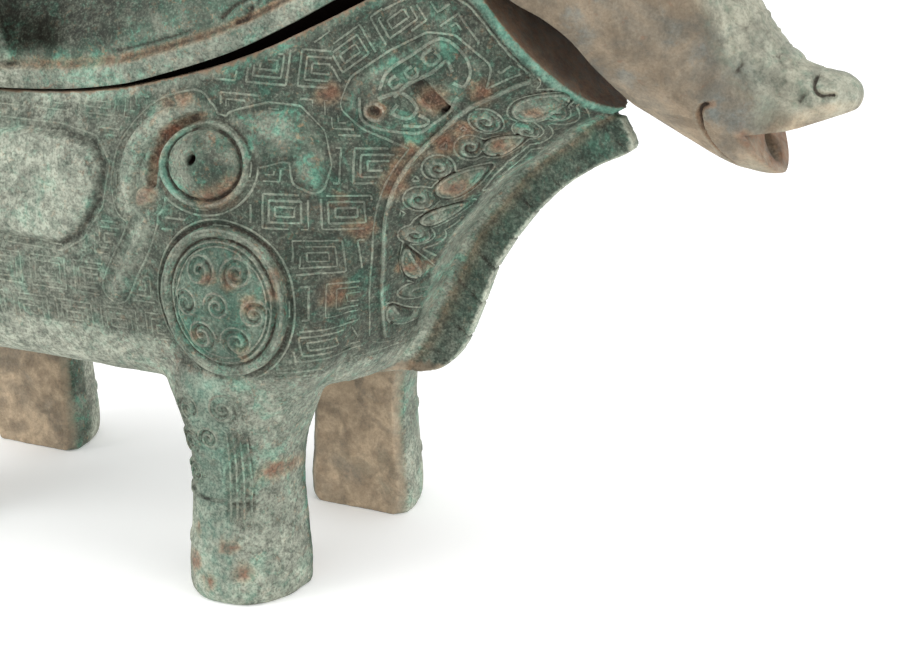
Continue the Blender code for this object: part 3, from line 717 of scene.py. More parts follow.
lidBars = (   # each on both sides: name, path, radii, sides, flatness, steps
    ("horn", ((70, 9, 166), (70, 19, 170), (66, 30, 175), (57, 37, 179.5), (46, 37, 182), (37, 31, 183.5)),
     tuple(6.7 * k for k in (1.05, 1.05, 0.95, 0.78, 0.52, 0.14)), 28, 1.0, 48),
    ("ear", ((60, 22, 160), (56, 28, 161), (51, 35, 161.5), (46, 41, 161)),
     (3.5, 4.6, 4.2, 0.8), 20, 0.55, 24),
    ("eyeball", ((84, 13, 151.5), (86.3, 17.4, 151.5), (87.4, 19.6, 151.6), (88, 20.6, 151.6)),
     (6.2, 5.6, 3.8, 1.2), 24, 1.0, 12),
    ("nostril", ((112.5, 3.6, 123.6), (115.5, 5.0, 124.0), (118.6, 4.8, 124.2), (121.6, 3.2, 123.8)),
     (1.5, 2.7, 2.8, 1.4), 20, 0.8, 16),
    ("knobForeleg", ((-67, 7, 155), (-66, 17, 153.5), (-65.5, 26.5, 144), (-65.5, 33, 133), (-64, 37, 124.5),
                     (-63, 37.6, 115.8)), legThick, 20, 1.0, 36),
    ("knobHindleg", ((-99, 7, 153), (-100, 15, 151), (-100, 22.5, 143), (-99, 26.2, 131), (-98, 27, 124),
                     (-96, 27, 119.5)), legThick, 20, 1.0, 36),
    ("knobEar", ((-60, 4.5, 164), (-61, 6.5, 169), (-61.5, 7.2, 172)), (2.6, 2.4, 0.9), 14, 0.6, 10),
)


def seatZ(x):
    gap = lidFit["seatGap"] + (lidFit["frontGap"] - lidFit["seatGap"]) * gapShare(x)
    return float(rimZ(x) + gap if x <= 36 else cheekZ(x) + gap - lidFit["frontGap"])


def domeRings(stations, inset, drop):
    rings = []
    for x in stations:
        width = max(float(rimHalf(x)) - inset, 0.8)
        base, shoulder = seatZ(x) - drop, seatZ(x) + lidFit["band"]
        top = max(float(ridgeZ(x)) - inset, shoulder + 0.6)
        turn = np.linspace(0.06, math.pi - 0.06, 45)
        over = np.stack([np.full(45, x), width * 0.985 * np.sign(np.cos(turn)) * np.abs(np.cos(turn)) ** 0.85,
                         shoulder + (top - shoulder) * np.sin(turn) ** 0.95], -1)
        walls = np.linspace(base, shoulder, 5)
        near = [(x, width, z) for z in walls]
        far = [(x, -width, z) for z in walls[::-1]]
        floor = [(x, -width * k, base) for k in (0.66, 0.33, 0, -0.33, -0.66)]
        rings.append(np.concatenate([near, over, far, floor]))
    return rings


def headRing(x, inset=0.0, segments=48):
    top, bottom = float(headTop(x)) - inset, float(headLow(x)) + inset
    width = float(headWide(x)) - inset
    middle = bottom + (top - bottom) * 0.46
    turn = np.linspace(0, 2 * math.pi, segments, endpoint=False)
    rise = np.sin(turn)
    power = np.where(rise >= 0, 0.9, 1.25)
    y = width * np.sign(np.cos(turn)) * np.abs(np.cos(turn)) ** power
    z = np.where(rise >= 0, middle + (top - middle) * rise, middle + (middle - bottom) * rise)
    return np.stack([np.full(segments, x), y, z], -1)


def bar(name, path, radii, segments, flat, steps):
    # round bar through points, its path and radii smoothed
    path, radii = np.array(path, float), np.array(radii, float)
    lengths = np.concatenate([[0], np.cumsum(np.linalg.norm(np.diff(path, axis=0), axis=1))])
    wanted = np.linspace(0, lengths[-1], steps)
    path = np.stack([curve(*zip(lengths, path[:, k]))(wanted) for k in range(3)], -1)
    radii = curve(*zip(lengths, radii))(wanted)
    rings = []
    side = None
    for i, centre in enumerate(path):
        along = Vector(path[min(i + 1, steps - 1)] - path[max(i - 1, 0)]).normalized()
        if side is None:
            side = along.cross(Vector((0, 0, 1)))
            side = side if side.length > 0.3 else along.cross(Vector((1, 0, 0)))
        side = (side - along * side.dot(along)).normalized()
        other = along.cross(side)
        turn = np.linspace(0, 2 * math.pi, segments, endpoint=False)
        rings.append(centre + radii[i] * (np.outer(np.cos(turn), side)
                                          + flat * np.outer(np.sin(turn), other)))
    return loft(name, rings)


def belowSeat():
    rings = []
    for x in np.concatenate([np.linspace(-128, 34, 120), np.linspace(34.6, 78.6, 80)]):
        z = seatZ(x)
        rings.append([(x, 60, 80), (x, 60, z), (x, 30, z), (x, 10, z), (x, -10, z), (x, -30, z), (x, -60, z),
                      (x, -60, 80)])
    return loft("seat", rings)


def tongueSkin():
    row = bodyRows(60, 4)[-1]
    row = row[(row[:, 0] < 34) & (row[:, 1] > 0)]
    half = [(x, y) for x, y, _ in row]
    path = half + [(row[-1][0] - 1.2, 0.0)] + [(x, -y) for x, y in half[::-1]]
    wall = vesselFit["wall"]
    outer = wall + lidFit["tongueIn"]
    inner = outer + lidFit["tongueThick"]
    rings = []
    for i, (x, y) in enumerate(path):
        before, after = path[max(i - 1, 0)], path[min(i + 1, len(path) - 1)]
        along = Vector((after[0] - before[0], after[1] - before[1])).normalized()
        base, deep = seatZ(x), lidFit["tongueDeep"]
        profile = ((wall * 0.5, 1.2), (wall * 0.5, 3.2), (inner, 3.2), (inner, -deep), (outer, -deep),
                   (outer, 1.2))
        rings.append([(x - along.y * d, y + along.x * d, base + h) for d, h in profile])
    return loft("tongue", rings)


headFit = dict(
    creases=(  # path in (x, z), width, depth
        (((97.6, 121.4), (95.4, 120.6), (94.4, 118.6), (94.7, 116.0), (96.0, 112.7), (98.2, 109.4),
          (100, 107.4)), 0.85, 1.5),
        (((101, 129.4), (105, 127.2), (110, 124.6), (115.0, 122.6)), 2.6, 1.4),
        (((115.6, 127.4), (115.8, 125.4), (118.0, 123.4), (120.8, 123.6)), 0.8, 1.1)),
    wrinkles=((100.5, 138.6, 1.8), (103.4, 135.4, 1.6), (106.2, 132.4, 1.5), (109.2, 130.2, 1.4)),
    eye=(87.4, 151.5), brow=((76, 158), (84, 159.5), (91, 155.5), (94, 149)),
    cheek=((99, 120), (97.4, 116), (98.4, 112), (101, 108.4)),
    lip=((103.4, 114.8), (105, 112.2), (107.5, 109.0), (109.4, 105.8)),
)


def scratchAt(x, rise, wide):
    # the long scratch over the band
    return smooth(wide, 0.2, np.abs(rise - 7.4)) * smooth(-34, -30, x) * smooth(-10, -14, x)


def lidRelief(spots, normals):
    x, y, z = spots.T
    side = np.abs(y)
    out = np.zeros(len(x))
    head = smooth(52, 66, x)
    for path, width, depth in headFit["creases"]:
        gap, along = pathGap(roundPath(path, 0.8), x, z)
        ends = smooth(0, 0.1, along) * smooth(1, 0.94, along)
        out -= smooth(width, width * 0.15, gap) * depth * head * smooth(0.5, 3.0, side) * ends
    # lip and cheek stand proud of the groove
    out += smooth(3.2, 0.4, lineGap(roundPath(headFit["cheek"], 0.8), x, z)) * 0.5 * head
    for cx, cz, size in headFit["wrinkles"]:
        r = np.hypot((x - cx) * 0.8 + (z - cz) * 0.6, ((z - cz) * 0.8 - (x - cx) * 0.6) * 0.55) / size
        out += np.sqrt(np.clip(1 - r * r, 0, 1)) * 0.9 * smooth(11, 8, side)
    out += smooth(2.4, 0.6, lineGap(roundPath(headFit["brow"]), x, z)) * 0.8 * head * (side > 6)
    r = np.hypot(x - headFit["eye"][0] + 0.5, z - headFit["eye"][1])
    out += smooth(1.9, 1.3, np.abs(r - 7.2)) * 0.55 * head * (side > 8)
    # the band along the lid's edge and the curls over it
    rise = z - np.interp(x, seatXs, seatZs)
    band = smooth(4.9, 4.3, rise) * (x < 46)
    out += band * 0.45 - smooth(0.9, 0.2, np.abs(rise - 5.6)) * 0.3 * (x < 46)
    zone = smooth(14, 16, rise) * (x < 34) * (x > -118) * smooth(3, 6, side)
    cell = 9.0
    column = np.round((x + 4) / cell)
    u = x - column * cell + 4
    v = (rise - 21) - np.round((rise - 21) / cell) * cell
    out += swirl(u, v, 0 * u, 0 * v, 4.0, 1.6) * 0.4 * zone
    for path in lidFit["hooks"]:
        out -= smooth(0.9, 0.3, lineGap(path, x, z)) * 0.6
    return out - scratchAt(x, rise, 0.6) * 0.4


seatXs = np.linspace(-130, 80, 400)
seatZs = np.array([seatZ(x) for x in seatXs])


def lidSkin():
    stations = np.concatenate([[-121.6, -120.9, -119.6, -117.4], np.linspace(-114.5, 48, 70)])
    headXs = np.concatenate([np.linspace(30, 104, 60), np.linspace(104.8, 122.6, 26), [123.2, 123.7, 124]])
    parts = [loft("dome", domeRings(stations, 0.0, 3.0)), loft("head", [headRing(x) for x in headXs])]
    for side in (1, -1):
        for name, path, *shape in lidBars:
            parts.append(bar(name, [(x, side * y, z) for x, y, z in path], *shape))
    parts.append(bar("knobTorso", *lidFit["torso"]))
    skin = skinned(joined("lidBody", parts), fine * 1.15)
    softened(skin, 10, np.full(len(skin.data.vertices), 0.35))
    spots = formSpots(skin)
    softened(skin, 22, smooth(4.5, 7.0, spots[:, 2] - np.interp(spots[:, 0], seatXs, seatZs)), keep=0)
    moved(skin, lidRelief, 0.07)
    print("lid skin", len(skin.data.vertices))
    wall = vesselFit["wall"]
    backXs = np.concatenate([[-121.6 + 2 * wall], np.linspace(-112, 30, 40), [36, 44.3]])
    hollow = loft("hollow", domeRings(backXs, wall, 12.0))
    throat = loft("throat", [headRing(x, wall, 32) for x in np.linspace(34, 87, 20)])
    wedge = loft("mouth", [[(x, y, z) for x, z in lidFit["lips"]] for y in (-20, -6, 0, 6, 20)])
    cut(skin, [belowSeat(), hollow, throat, wedge, bar("scoop", *lidFit["scoop"])])
    cut(skin, [tongueSkin()], "UNION")
    return thinned(skin, lidFit["faces"])


lidBody = lidSkin()
print("lid cut", faceCount(lidBody))


def curvature(item, rounds):
    # how hollow (+) or sharp (-) the skin is at each point
    spots, normals = readSpots(item.data), readNormals(item.data)
    count = len(spots)
    edges, share = readEdges(item.data, count)
    share[share == 0] = 1
    starts, ends = edges.T

    def gathered(atStart, atEnd):
        return (np.bincount(starts, atEnd, count) + np.bincount(ends, atStart, count)) / share

    def mean(values):
        return gathered(values[starts], values[ends])

    pull = np.stack([mean(spots[:, k]) for k in range(3)], -1) - spots
    reach = ((spots[starts] - spots[ends]) ** 2).sum(1)
    reach = gathered(reach, reach)
    bend = (pull * normals).sum(1) / (reach + 4e-8) * 0.0026      # both small numbers in metres
    for _ in range(rounds):
        bend = 0.5 * bend + 0.5 * mean(bend)
    return np.clip(bend, -3, 3)


def tint(item, bend, **fields):
    attribute(item, "bend", bend)
    for name in ("brown", "pale", "rust", "within", "green", "warm", "dark"):
        attribute(item, name, np.clip(fields.get(name, np.zeros(len(item.data.vertices))), 0, 1))


def blobs(spots, places):
    # soft patches at (x, z, size) on the near flank
    out = np.zeros(len(spots))
    drift = latticeNoise(spots, 0.35, 11) * 1.3 + latticeNoise(spots, 1.1, 12) * 0.7
    for x, z, size in places:
        reach = np.hypot(spots[:, 0] - x + drift, spots[:, 2] - z + drift * 0.6) / size
        out = np.maximum(out, smooth(1.5, 0.2, reach))
    return out


# rust stains as (x, z, size) in form units
rustSpots = (
    (-14, 9, 2.4), (-9.6, 5, 2.0), (-1, 8.4, 2.0), (-4, 15, 1.8), (-13, 17, 1.6), (3.6, 32, 2.2),
    (-1.6, 97.8, 2.6), (-5.5, 96.6, 2.4), (0.6, 101, 1.6), (-20.9, 95.4, 2.0), (-14, 116.5, 1.8),
    (-18.5, 115, 1.6), (-4.5, 79.5, 1.6), (0.6, 79.8, 2.2), (5.4, 74.6, 2.4), (10.2, 77.5, 1.6),
    (-8.5, 66, 1.4), (3, 63, 1.8), (41.8, 119.8, 3.0), (29.8, 116.8, 1.8), (51.0, 121.4, 2.4),
    (45.6, 112.6, 2.2), (42, 109.4, 2.6), (36, 108, 2.2), (34, 104.5, 2.2), (32, 100.5, 2.4),
    (-16.5, 109, 1.8), (-18.4, 104, 1.8), (20, 120, 2.2), (26, 91, 2.2), (23, 98, 1.6), (52.2, 108.6, 2.2),
    (43.4, 99.4, 2.6), (32.6, 80.4, 2.0), (60, 116.4, 1.4), (21, 77, 2.6), (10.5, 81, 2),
)

# The raised threads between the motifs: nested squares, and lines that echo each motif
threadFit = dict(
    pitch=1.34, cellX=12.0, cellZ=10.0, thick=0.00024, sink=0.00002, echo=3.3, grid=0.3, bold=1.45,
    rings=(0.83, 0.76), straight=1.3, bow=0.045, worn=0.42,
)


def nestedSquares(u, v):
    # distance from the heart of each square, every second row set over by half
    wide, tall = threadFit["cellX"], threadFit["cellZ"]
    shift = (np.floor(v / tall) % 2) * wide * 0.5
    across = np.abs(((u + shift) / wide) % 1 - 0.5) * wide
    upward = np.abs((v / tall) % 1 - 0.5) * tall
    return np.maximum(across, upward + (wide - tall) / 2)


def threadField(x, z):
    # line number at each place, and how well the lines are kept there
    pitch = threadFit["pitch"]
    gap = motifGap(x, z)
    borderGap, _ = pathGap(motif["border"], x, z)
    borderX = np.interp(z, motif["border"][::-1, 1], motif["border"][::-1, 0])
    chest = (x > borderX) & (z > 60)
    leafGap = np.full(x.shape, 1e9)
    for leaf in motif["leaves"]:
        leafGap = np.minimum(leafGap, (leafField(x, z, leaf) - 1) * min(leaf[2], leaf[3]) * 1.1)
    for cx, cz, size in motif["curls"]:
        leafGap = np.minimum(leafGap, np.hypot(x - cx, z - cz) - size)
    rimGap = (rimZ(x) - z) * 0.8
    lean = np.where((x > 20) & (z > 116) | (z > 130), 0.66, 0.0)      # the pattern turns with the neck
    u = 22 + (x - 22) * np.cos(lean) + (z - 118) * np.sin(lean)
    v = 118 - (x - 22) * np.sin(lean) + (z - 118) * np.cos(lean)
    squares = nestedSquares(u, v) / pitch
    echo = np.minimum(gap, borderGap) / pitch
    flank = np.where(echo * pitch < threadFit["echo"], echo, squares + 40)
    flank = np.where((rimGap < 4.6) & (x > 30), rimGap / pitch + 80, flank)
    front = np.minimum(leafGap, borderGap) / pitch + 120
    lines = np.where(chest, front, flank) + 0.5
    keep = (gap > 0.5) & (borderGap > 0.5) & (leafGap > 0.1) & (rimZ(x) - z > 2.2) & (z > 57) & (x > -117)
    keep &= flankHeight(x, z) > np.where(chest, bandWide(z) + 0.8, 3.0)
    onBelly = smooth(60, 66, z) + smooth(-24, -6, x) * smooth(36, 20, x)     # the plain belly starts here
    return lines, keep & (onBelly > 0.5)


def vesselFields(item):
    x, y, z = formSpots(item).T
    normals = readNormals(item.data)
    side, drop = np.abs(y), rimZ(x) - z
    outer = smooth(-3.6, -2.2, side - flankHeight(x, z))
    legs = z < 51
    # inner faces of the legs: brown is their own tone; the pale lift and the light tan stand in for light
    # reaching them, as painted bounce light
    innerLeg = legs * smooth(22.5, 20.6, side) * smooth(0.5, 0.8, np.abs(normals[:, 1]))
    # painted shade: the vessel's inner faces are marked for the near-black inside colour
    cavity = (z > 52.5) & (side < flankHeight(x, z, False) - 1.8) & (x < rootX(z) - 1.2)
    lip = smooth(0.9, 0.3, drop) * (normals[:, 2] > 0.5)
    # smooth pale places: the wing, the crest, the brow and the streak below it
    wing = areaGap(motif["wing"], x, z)
    polished = np.maximum(smooth(0.2, -1.0, wing) * smooth(40, 0, -60 - x),
                          0.5 * smooth(0.2, -1.0, areaGap(motif["crest"], x, z)) * smooth(14, 11, x))
    polished = np.maximum(polished, 0.7 * smooth(2.4, 1.4, lineGap(motif["brow"], x, z))
                          + 0.8 * smooth(1.5, 0.5, lineGap(motif["streak"], x, z)))
    slot = smooth(1.7, 0.7, lineGap(motif["slot"], x, z)) * (z > 90)
    light = 0.3 * smooth(-22, -48, x) + 0.42 * smooth(66, 55, z) + 0.26 * smooth(-8, -24, x)
    light += 0.3 * smooth(30, 12, z)
    # the flange: its plate, a painted highlight along its front edge, its scores and the smooth band at its
    # foot
    edgeX = flangeFit["edge"](z)
    plate = smooth(3.6, 2.8, side) * smooth(2.0, 3.5, x - rootX(z)) * (z < 114.5)
    # painted highlight: the flange's front edge, which faces the light from the right, is made pale
    edge = smooth(-0.9, -0.3, x - edgeX) * (side < 2.2) * (z > 48) * (z < 114.5)
    score = plate * smooth(0.6, 0.2, scoreGap(x, z)) * smooth(9, 5, edgeX - x)
    band = smooth(1.06, 0.94, side / bandWide(z)) * smooth(3, 1, np.abs(x - rootX(z) - 0.5))
    band = band * (z > 52) * (z < 112) * (1 - plate)
    # the neck's strip, the eye and the roundels
    # painted shade: the sunk pupil is marked for the same near-black inside colour
    pupil = smooth(1.3, 0.7, np.hypot(x - motif["pupil"][0], z - motif["pupil"][1])) * outer
    strip = smooth(3.4, 2.6, drop) * smooth(24, 40, x) * outer * (drop > 0)
    eye = ovalGap(motif["eye"], x, z)
    channel = smooth(1.6, 0.6, np.abs(eye - 0.96) * 9) * smooth(-10, -15, x)
    disc = smooth(0.86, 0.8, np.min([ovalGap(r, x, z) for r in motif["roundels"]], axis=0)) * outer
    column, shank, crack = np.zeros((3, len(x)))
    for centreX, hand in legFit["spots"]:
        u = x - centreX
        own = (np.sign(y) == hand) & (np.abs(u) < 20) & (z < 56) & (side > 24)
        column = np.maximum(column, own * smooth(7.5, 3, np.abs(u + 1.5)))
        upright = smooth(11, 8, np.abs(u + 1)) * smooth(17, 22, z) * smooth(56, 50, z)
        shank = np.maximum(shank, own * upright)
        crackZ = 25.4 + 0.02 * (u + 3) ** 2
        crack = np.maximum(crack, own * smooth(0.7, 0.25, np.abs(z - crackZ)) * smooth(3, 1, u))
    sunk = smooth(0.35, 1.2, -flankRelief(x, z) * outer * (z > 52))
    kept = threadField(x, z)[1] * outer
    wingEdge = smooth(1.3, 0.3, np.abs(wing - 0.5)) * smooth(-52, -44, x) * outer
    stained = blobs(np.stack([x, y, z], -1), rustSpots)
    tint(item, curvature(item, 2),
         brown=innerLeg + lip * 0.8,
         pale=0.16 * polished * (1 - slot) + edge + band * 0.3 + light * outer + innerLeg * 0.6,
         rust=(stained * (outer * 0.75 + legs * 0.16) + slot * 0.35 + lip * 0.6
               + plate * smooth(7, 2, x - rootX(z)) * 0.4),
         within=cavity * smooth(1.2, 2.4, drop) + pupil,
         green=strip * 0.9 + channel * outer + column * 0.6 + disc * 0.3 + plate * 0.3,
         warm=innerLeg,
         dark=(plate * (1 - edge) * 0.75 + sunk * 0.8 + kept * 0.85 * (1 - 0.7 * light) + slot * 0.5
               + shank * 0.35 + crack * 0.8 + disc * 0.35 + wingEdge * 0.7 + score * 0.9
               + smooth(0.3, -0.8, areaGap(motif["horn"], x, z)) * 0.7 * outer
               + smooth(0.8, 0.6, eye) * smooth(-9, -3, x) * 0.6 * outer))


def lidFields(item):
    x, y, z = formSpots(item).T
    normals = readNormals(item.data)
    side, rise = np.abs(y), z - np.interp(x, seatXs, seatZs)
    top, low = headTop(x), headLow(x)
    head = smooth(40, 58, x + 0.25 * (z - 140))
    # inner faces, painted near-black as shade: under the seat, inside the back and inside the head
    middle = low + (top - low) * 0.46
    half = np.where(z > middle, top - middle, middle - low) - 1.4
    throat = (x > 30) & (x < 88) & (np.hypot(y / (headWide(x) - 1.4), (z - middle) / half) < 0.97)
    below = (rise < -0.1) & (x < 80) | (x < 77) & (normals[:, 2] < -0.3) & (side < rimHalf(x) - 2)
    below |= throat & ((x > 45) | (z < ridgeZ(x) - 2)) | (x < 36) & (rise < 4) & (side < rimHalf(x) - 1.8)
    # the head: the cheek's crease, the lip's groove, the worn top
    groovePath, creasePath = (fit[0] for fit in headFit["creases"][:2])
    # painted shade: the cheek's crease is darkened along its valley
    crease = smooth(2.2, 0.5, lineGap(creasePath, x, z)) * smooth(99, 104, x) * smooth(1, 4, side)
    groove = smooth(1.0, 0.4, lineGap(groovePath, x, z)) * smooth(2, 5, side)
    mouth = smooth(2.4, 0.6, lineGap(headFit["lip"], x, z))
    worn = smooth(15, 5, top - z) * smooth(80, 92, x)
    # the back: its edge band, the hooks over it, the grip's foot with painted light on it, and the hollow
    # behind it with a painted shadow
    hook = smooth(0.7, 0.3, np.min([lineGap(path, x, z) for path in lidFit["hooks"]], axis=0))
    bandLine = smooth(1.6, 0.4, np.abs(rise - 5.4)) * (x < 40)
    band = smooth(5.0, 4.2, rise) * (x < 44) * (rise > -0.5)
    # painted light: the knob's foreleg foot is made paler where light catches it
    paw = smooth(-0.8, 0.6, side - rimHalf(x)) * (x > -70) * (x < -56) * (z < 130)
    aft = smooth(-16, -38, x)
    # painted shadow: the dome beside and under the knob's foreleg is darkened with the near-black inside
    # colour
    hollow = smooth(-40, -50, x) * smooth(6, 10, rise) * smooth(24, 12, rise) * smooth(-70, -62, x)
    # painted shade and dark patina: the upper back above the band is darkened, more so towards the rear
    upperShadeAndPatina = smooth(11 - 5 * aft, 16 - 5 * aft, rise) * (1 - head) * (0.5 + 0.5 * aft) * smooth(154, 143, z)
    tint(item, curvature(item, 2),
         brown=head * (1 - 0.6 * worn) * (1 - 0.25 * smooth(112, 124, x)),
         pale=band * 0.35 + paw * 0.6 + head * worn * 1.2 + head * smooth(112, 124, x) * 0.4,
         rust=bandLine * smooth(-75, -45, x) * 0.55 + mouth * 0.65 + groove * 0.5,
         within=below + 0.7 * hollow * (1 - paw),
         green=head * worn * 0.14 + crease * 0.15,
         # painted bounce light: the head's lower faces that turn downward are made paler and warmer
         warm=head * smooth(14, 3, z - low) * smooth(60, 80, x) * 0.6 * smooth(0.2, -0.3, normals[:, 2]),
         dark=upperShadeAndPatina + crease * 0.35 + groove * 0.4 + hook * 0.9 + scratchAt(x, rise, 0.5) * 0.6)


def paint(red, green, blue):
    # a seen colour as the shader's own numbers
    return tuple(((c / 255 + 0.055) / 1.055) ** 2.4 if c > 10 else c / 255 / 12.92
                 for c in (red, green, blue)) + (1.0,)


class nodeBench:
    # shorthand for wiring a material
    def __init__(self, name):
        self.material = bpy.data.materials.new(name)
        self.material.use_nodes = True
        self.tree = self.material.node_tree
        self.shader = self.tree.nodes["Principled BSDF"]
        self.place = self.tree.nodes.new("ShaderNodeTexCoord").outputs["Object"]

    def node(self, kind, **values):
        made = self.tree.nodes.new(kind)
        for key, value in values.items():
            setattr(made, key, value)
        return made

    def plug(self, socket, value):
        if isinstance(value, bpy.types.NodeSocket):
            self.tree.links.new(value, socket)
        else:
            socket.default_value = value

    def noise(self, scale, detail, rough, warp=0.0):
        made = self.node("ShaderNodeTexNoise")
        self.plug(made.inputs["Vector"], self.place)
        for name, value in (("Scale", scale), ("Detail", detail), ("Roughness", rough), ("Distortion", warp)):
            made.inputs[name].default_value = value
        return made.outputs[0]

    def cells(self, scale):
        made = self.node("ShaderNodeTexVoronoi", feature="F1")
        self.plug(made.inputs["Vector"], self.place)
        made.inputs["Scale"].default_value = scale
        return made.outputs[0]

    def span(self, value, low, high, start=0.0, end=1.0):
        made = self.node("ShaderNodeMapRange", interpolation_type="SMOOTHSTEP")
        for i, v in enumerate((value, low, high, start, end)):
            self.plug(made.inputs[i], v)
        return made.outputs[0]

    def maths(self, operation, a, b):
        made = self.node("ShaderNodeMath", operation=operation)
        self.plug(made.inputs[0], a)
        self.plug(made.inputs[1], b)
        return made.outputs[0]

    def times(self, a, b):
        return self.maths("MULTIPLY", a, b)

    def mix(self, share, a, b, blend="MIX"):
        made = self.node("ShaderNodeMix", data_type="RGBA", blend_type=blend)
        self.plug(made.inputs[0], share)
        self.plug(made.inputs[6], a)
        self.plug(made.inputs[7], b)
        return made.outputs[2]

    def field(self, name):
        made = self.node("ShaderNodeAttribute", attribute_name=name)
        return made.outputs["Fac"]


patinaFit = dict(
    grey=paint(118, 124, 110), green=paint(74, 92, 79), deep=paint(47, 54, 46), turquoise=paint(84, 144, 122),
    pale=paint(172, 176, 160), tan=paint(158, 124, 94), rust=paint(122, 82, 62), soil=paint(50, 40, 32),
    headGrey=paint(101, 99, 90), headTan=paint(128, 115, 97), headBlue=paint(106, 112, 108),
    # the near-black colour after headGreen is painted shade for inner faces and shadowed hollows
    headGreen=paint(136, 140, 124), inside=paint(16, 12, 10), black=paint(30, 27, 23),
    # the light tan after ground on the next line is painted bounce light
    ground=paint(50, 54, 46), warm=paint(188, 168, 142), mint=paint(104, 160, 140),
    pitStrength=0.62, pitDepth=0.00035,
)

# each salt laid over the last: colour, noise (scale, detail, roughness, warp), range and strength
bodySalts = (
    ("deep", (95, 6, 0.65, 0.8), (0.50, 0.66, 0, 0.75)),
    ("turquoise", (130, 7, 0.72, 0.6), (0.52, 0.64, 0, 0.75)),
    ("turquoise", (900, 4, 0.7, 0.3), (0.54, 0.66, 0, 0.42)),
    ("tan", (760, 5, 0.72, 0.3), (0.55, 0.68, 0, 0.5)),
    ("rust", (330, 6, 0.75, 0.5), (0.60, 0.70, 0, 0.75)),
)
headSalts = (
    ("headTan", (80, 6, 0.62, 0.5), (0.36, 0.62)),
    ("headBlue", (120, 6, 0.66, 0.4), (0.52, 0.68, 0, 0.7)),
    ("headGreen", (70, 5, 0.6, 0.2), (0.56, 0.7, 0, 0.6)),
    ("rust", (500, 6, 0.72, 0.5), (0.60, 0.72, 0, 0.45)),
)


def patina():
    fit = patinaFit
    bench = nodeBench("bronzePatina")
    middle = bench.noise(190, 6, 0.62, 0.5)
    small = bench.noise(650, 5, 0.65)
    speck = bench.noise(2600, 3, 0.7)
    brown, bend, rust = bench.field("brown"), bench.field("bend"), bench.field("rust")

    def over(colour, name, share):
        return bench.mix(share, colour, fit[name])

    def salted(colour, salts):
        for name, grain, reach in salts:
            colour = over(colour, name, bench.span(bench.noise(*grain), *reach))
        return colour

    def placed(colour, name, field, *reach, by=small):
        return over(colour, name, bench.times(bench.field(field), bench.span(by, *reach)))

    colour = salted(bench.mix(bench.span(middle, 0.38, 0.62), fit["green"], fit["grey"]), bodySalts)
    colour = placed(colour, "mint", "green", 0.3, 0.6, 1.0, 0.55)
    colour = placed(colour, "pale", "pale", 0.3, 0.62, 0.35, 0.95)
    colour = bench.mix(brown, colour, salted(fit["headGrey"], headSalts))
    # painted bounce light: a light tan over the inner leg faces and the head's downward faces
    colour = placed(colour, "warm", "warm", 0.36, 0.6, 1.0, 0.4, by=middle)
    colour = placed(colour, "ground", "dark", 0.35, 0.65, 1.0, 0.6)
    stain = bench.mix(bench.span(rust, 0.3, 0.8), fit["tan"], fit["rust"])
    colour = bench.mix(bench.times(rust, bench.span(small, 0.35, 0.6, 0.45, 1.0)), colour, stain)
    # soil in the hollows, paler colour on the high edges
    colour = over(colour, "soil", bench.span(bend, 0.1, 1.0, 0, 0.88))
    colour = over(colour, "pale", bench.span(bend, -0.2, -1.5, 0, 0.5))
    # fine grain, calmer on the brown head
    calm = bench.span(brown, 0, 0.4, 1.0, 0.4)
    colour = over(colour, "black", bench.times(bench.span(speck, 0.34, 0.5, 0.32, 0), calm))
    colour = over(colour, "pale", bench.times(bench.span(speck, 0.52, 0.68, 0, 0.15), calm))
    cloud = bench.span(bench.noise(170, 7, 0.7, 0.3), 0.36, 0.64, 0.76, 1.22)
    colour = bench.mix(1.0, colour, cloud, "MULTIPLY")
    grain = bench.span(bench.noise(1300, 4, 0.7, 0.3), 0.4, 0.62, 0.8, 1.12)
    grained = bench.mix(1.0, colour, grain, "MULTIPLY")
    colour = bench.mix(bench.span(brown, 0, 0.4, 1.0, 0.35), colour, grained)
    # painted shade: the near-black inside colour goes where the within field is set, and specular is turned
    # down there, so inner faces and hollows read as deep shadow
    bench.plug(bench.shader.inputs["Base Color"], over(colour, "inside", bench.field("within")))
    bench.plug(bench.shader.inputs["Roughness"], bench.span(small, 0.3, 0.7, 0.66, 0.9))
    bench.plug(bench.shader.inputs["Specular IOR Level"],
               bench.span(bench.field("within"), 0, 0.8, 0.26, 0.0))
    bench.shader.inputs["Metallic"].default_value = 0.0
    pits = bench.times(bench.span(bench.cells(900), 0.0, 0.32), 0.35)
    rough = bench.maths("ADD", bench.times(bench.noise(1100, 6, 0.72), 0.8), pits)
    rough = bench.maths("ADD", rough, bench.times(bench.noise(420, 5, 0.6), 0.7))
    bump = bench.node("ShaderNodeBump")
    bump.inputs["Strength"].default_value = fit["pitStrength"]
    bump.inputs["Distance"].default_value = fit["pitDepth"]
    bench.plug(bump.inputs["Height"], rough)
    bench.plug(bench.shader.inputs["Normal"], bump.outputs[0])
    return bench.material


patinaMaterial = patina()


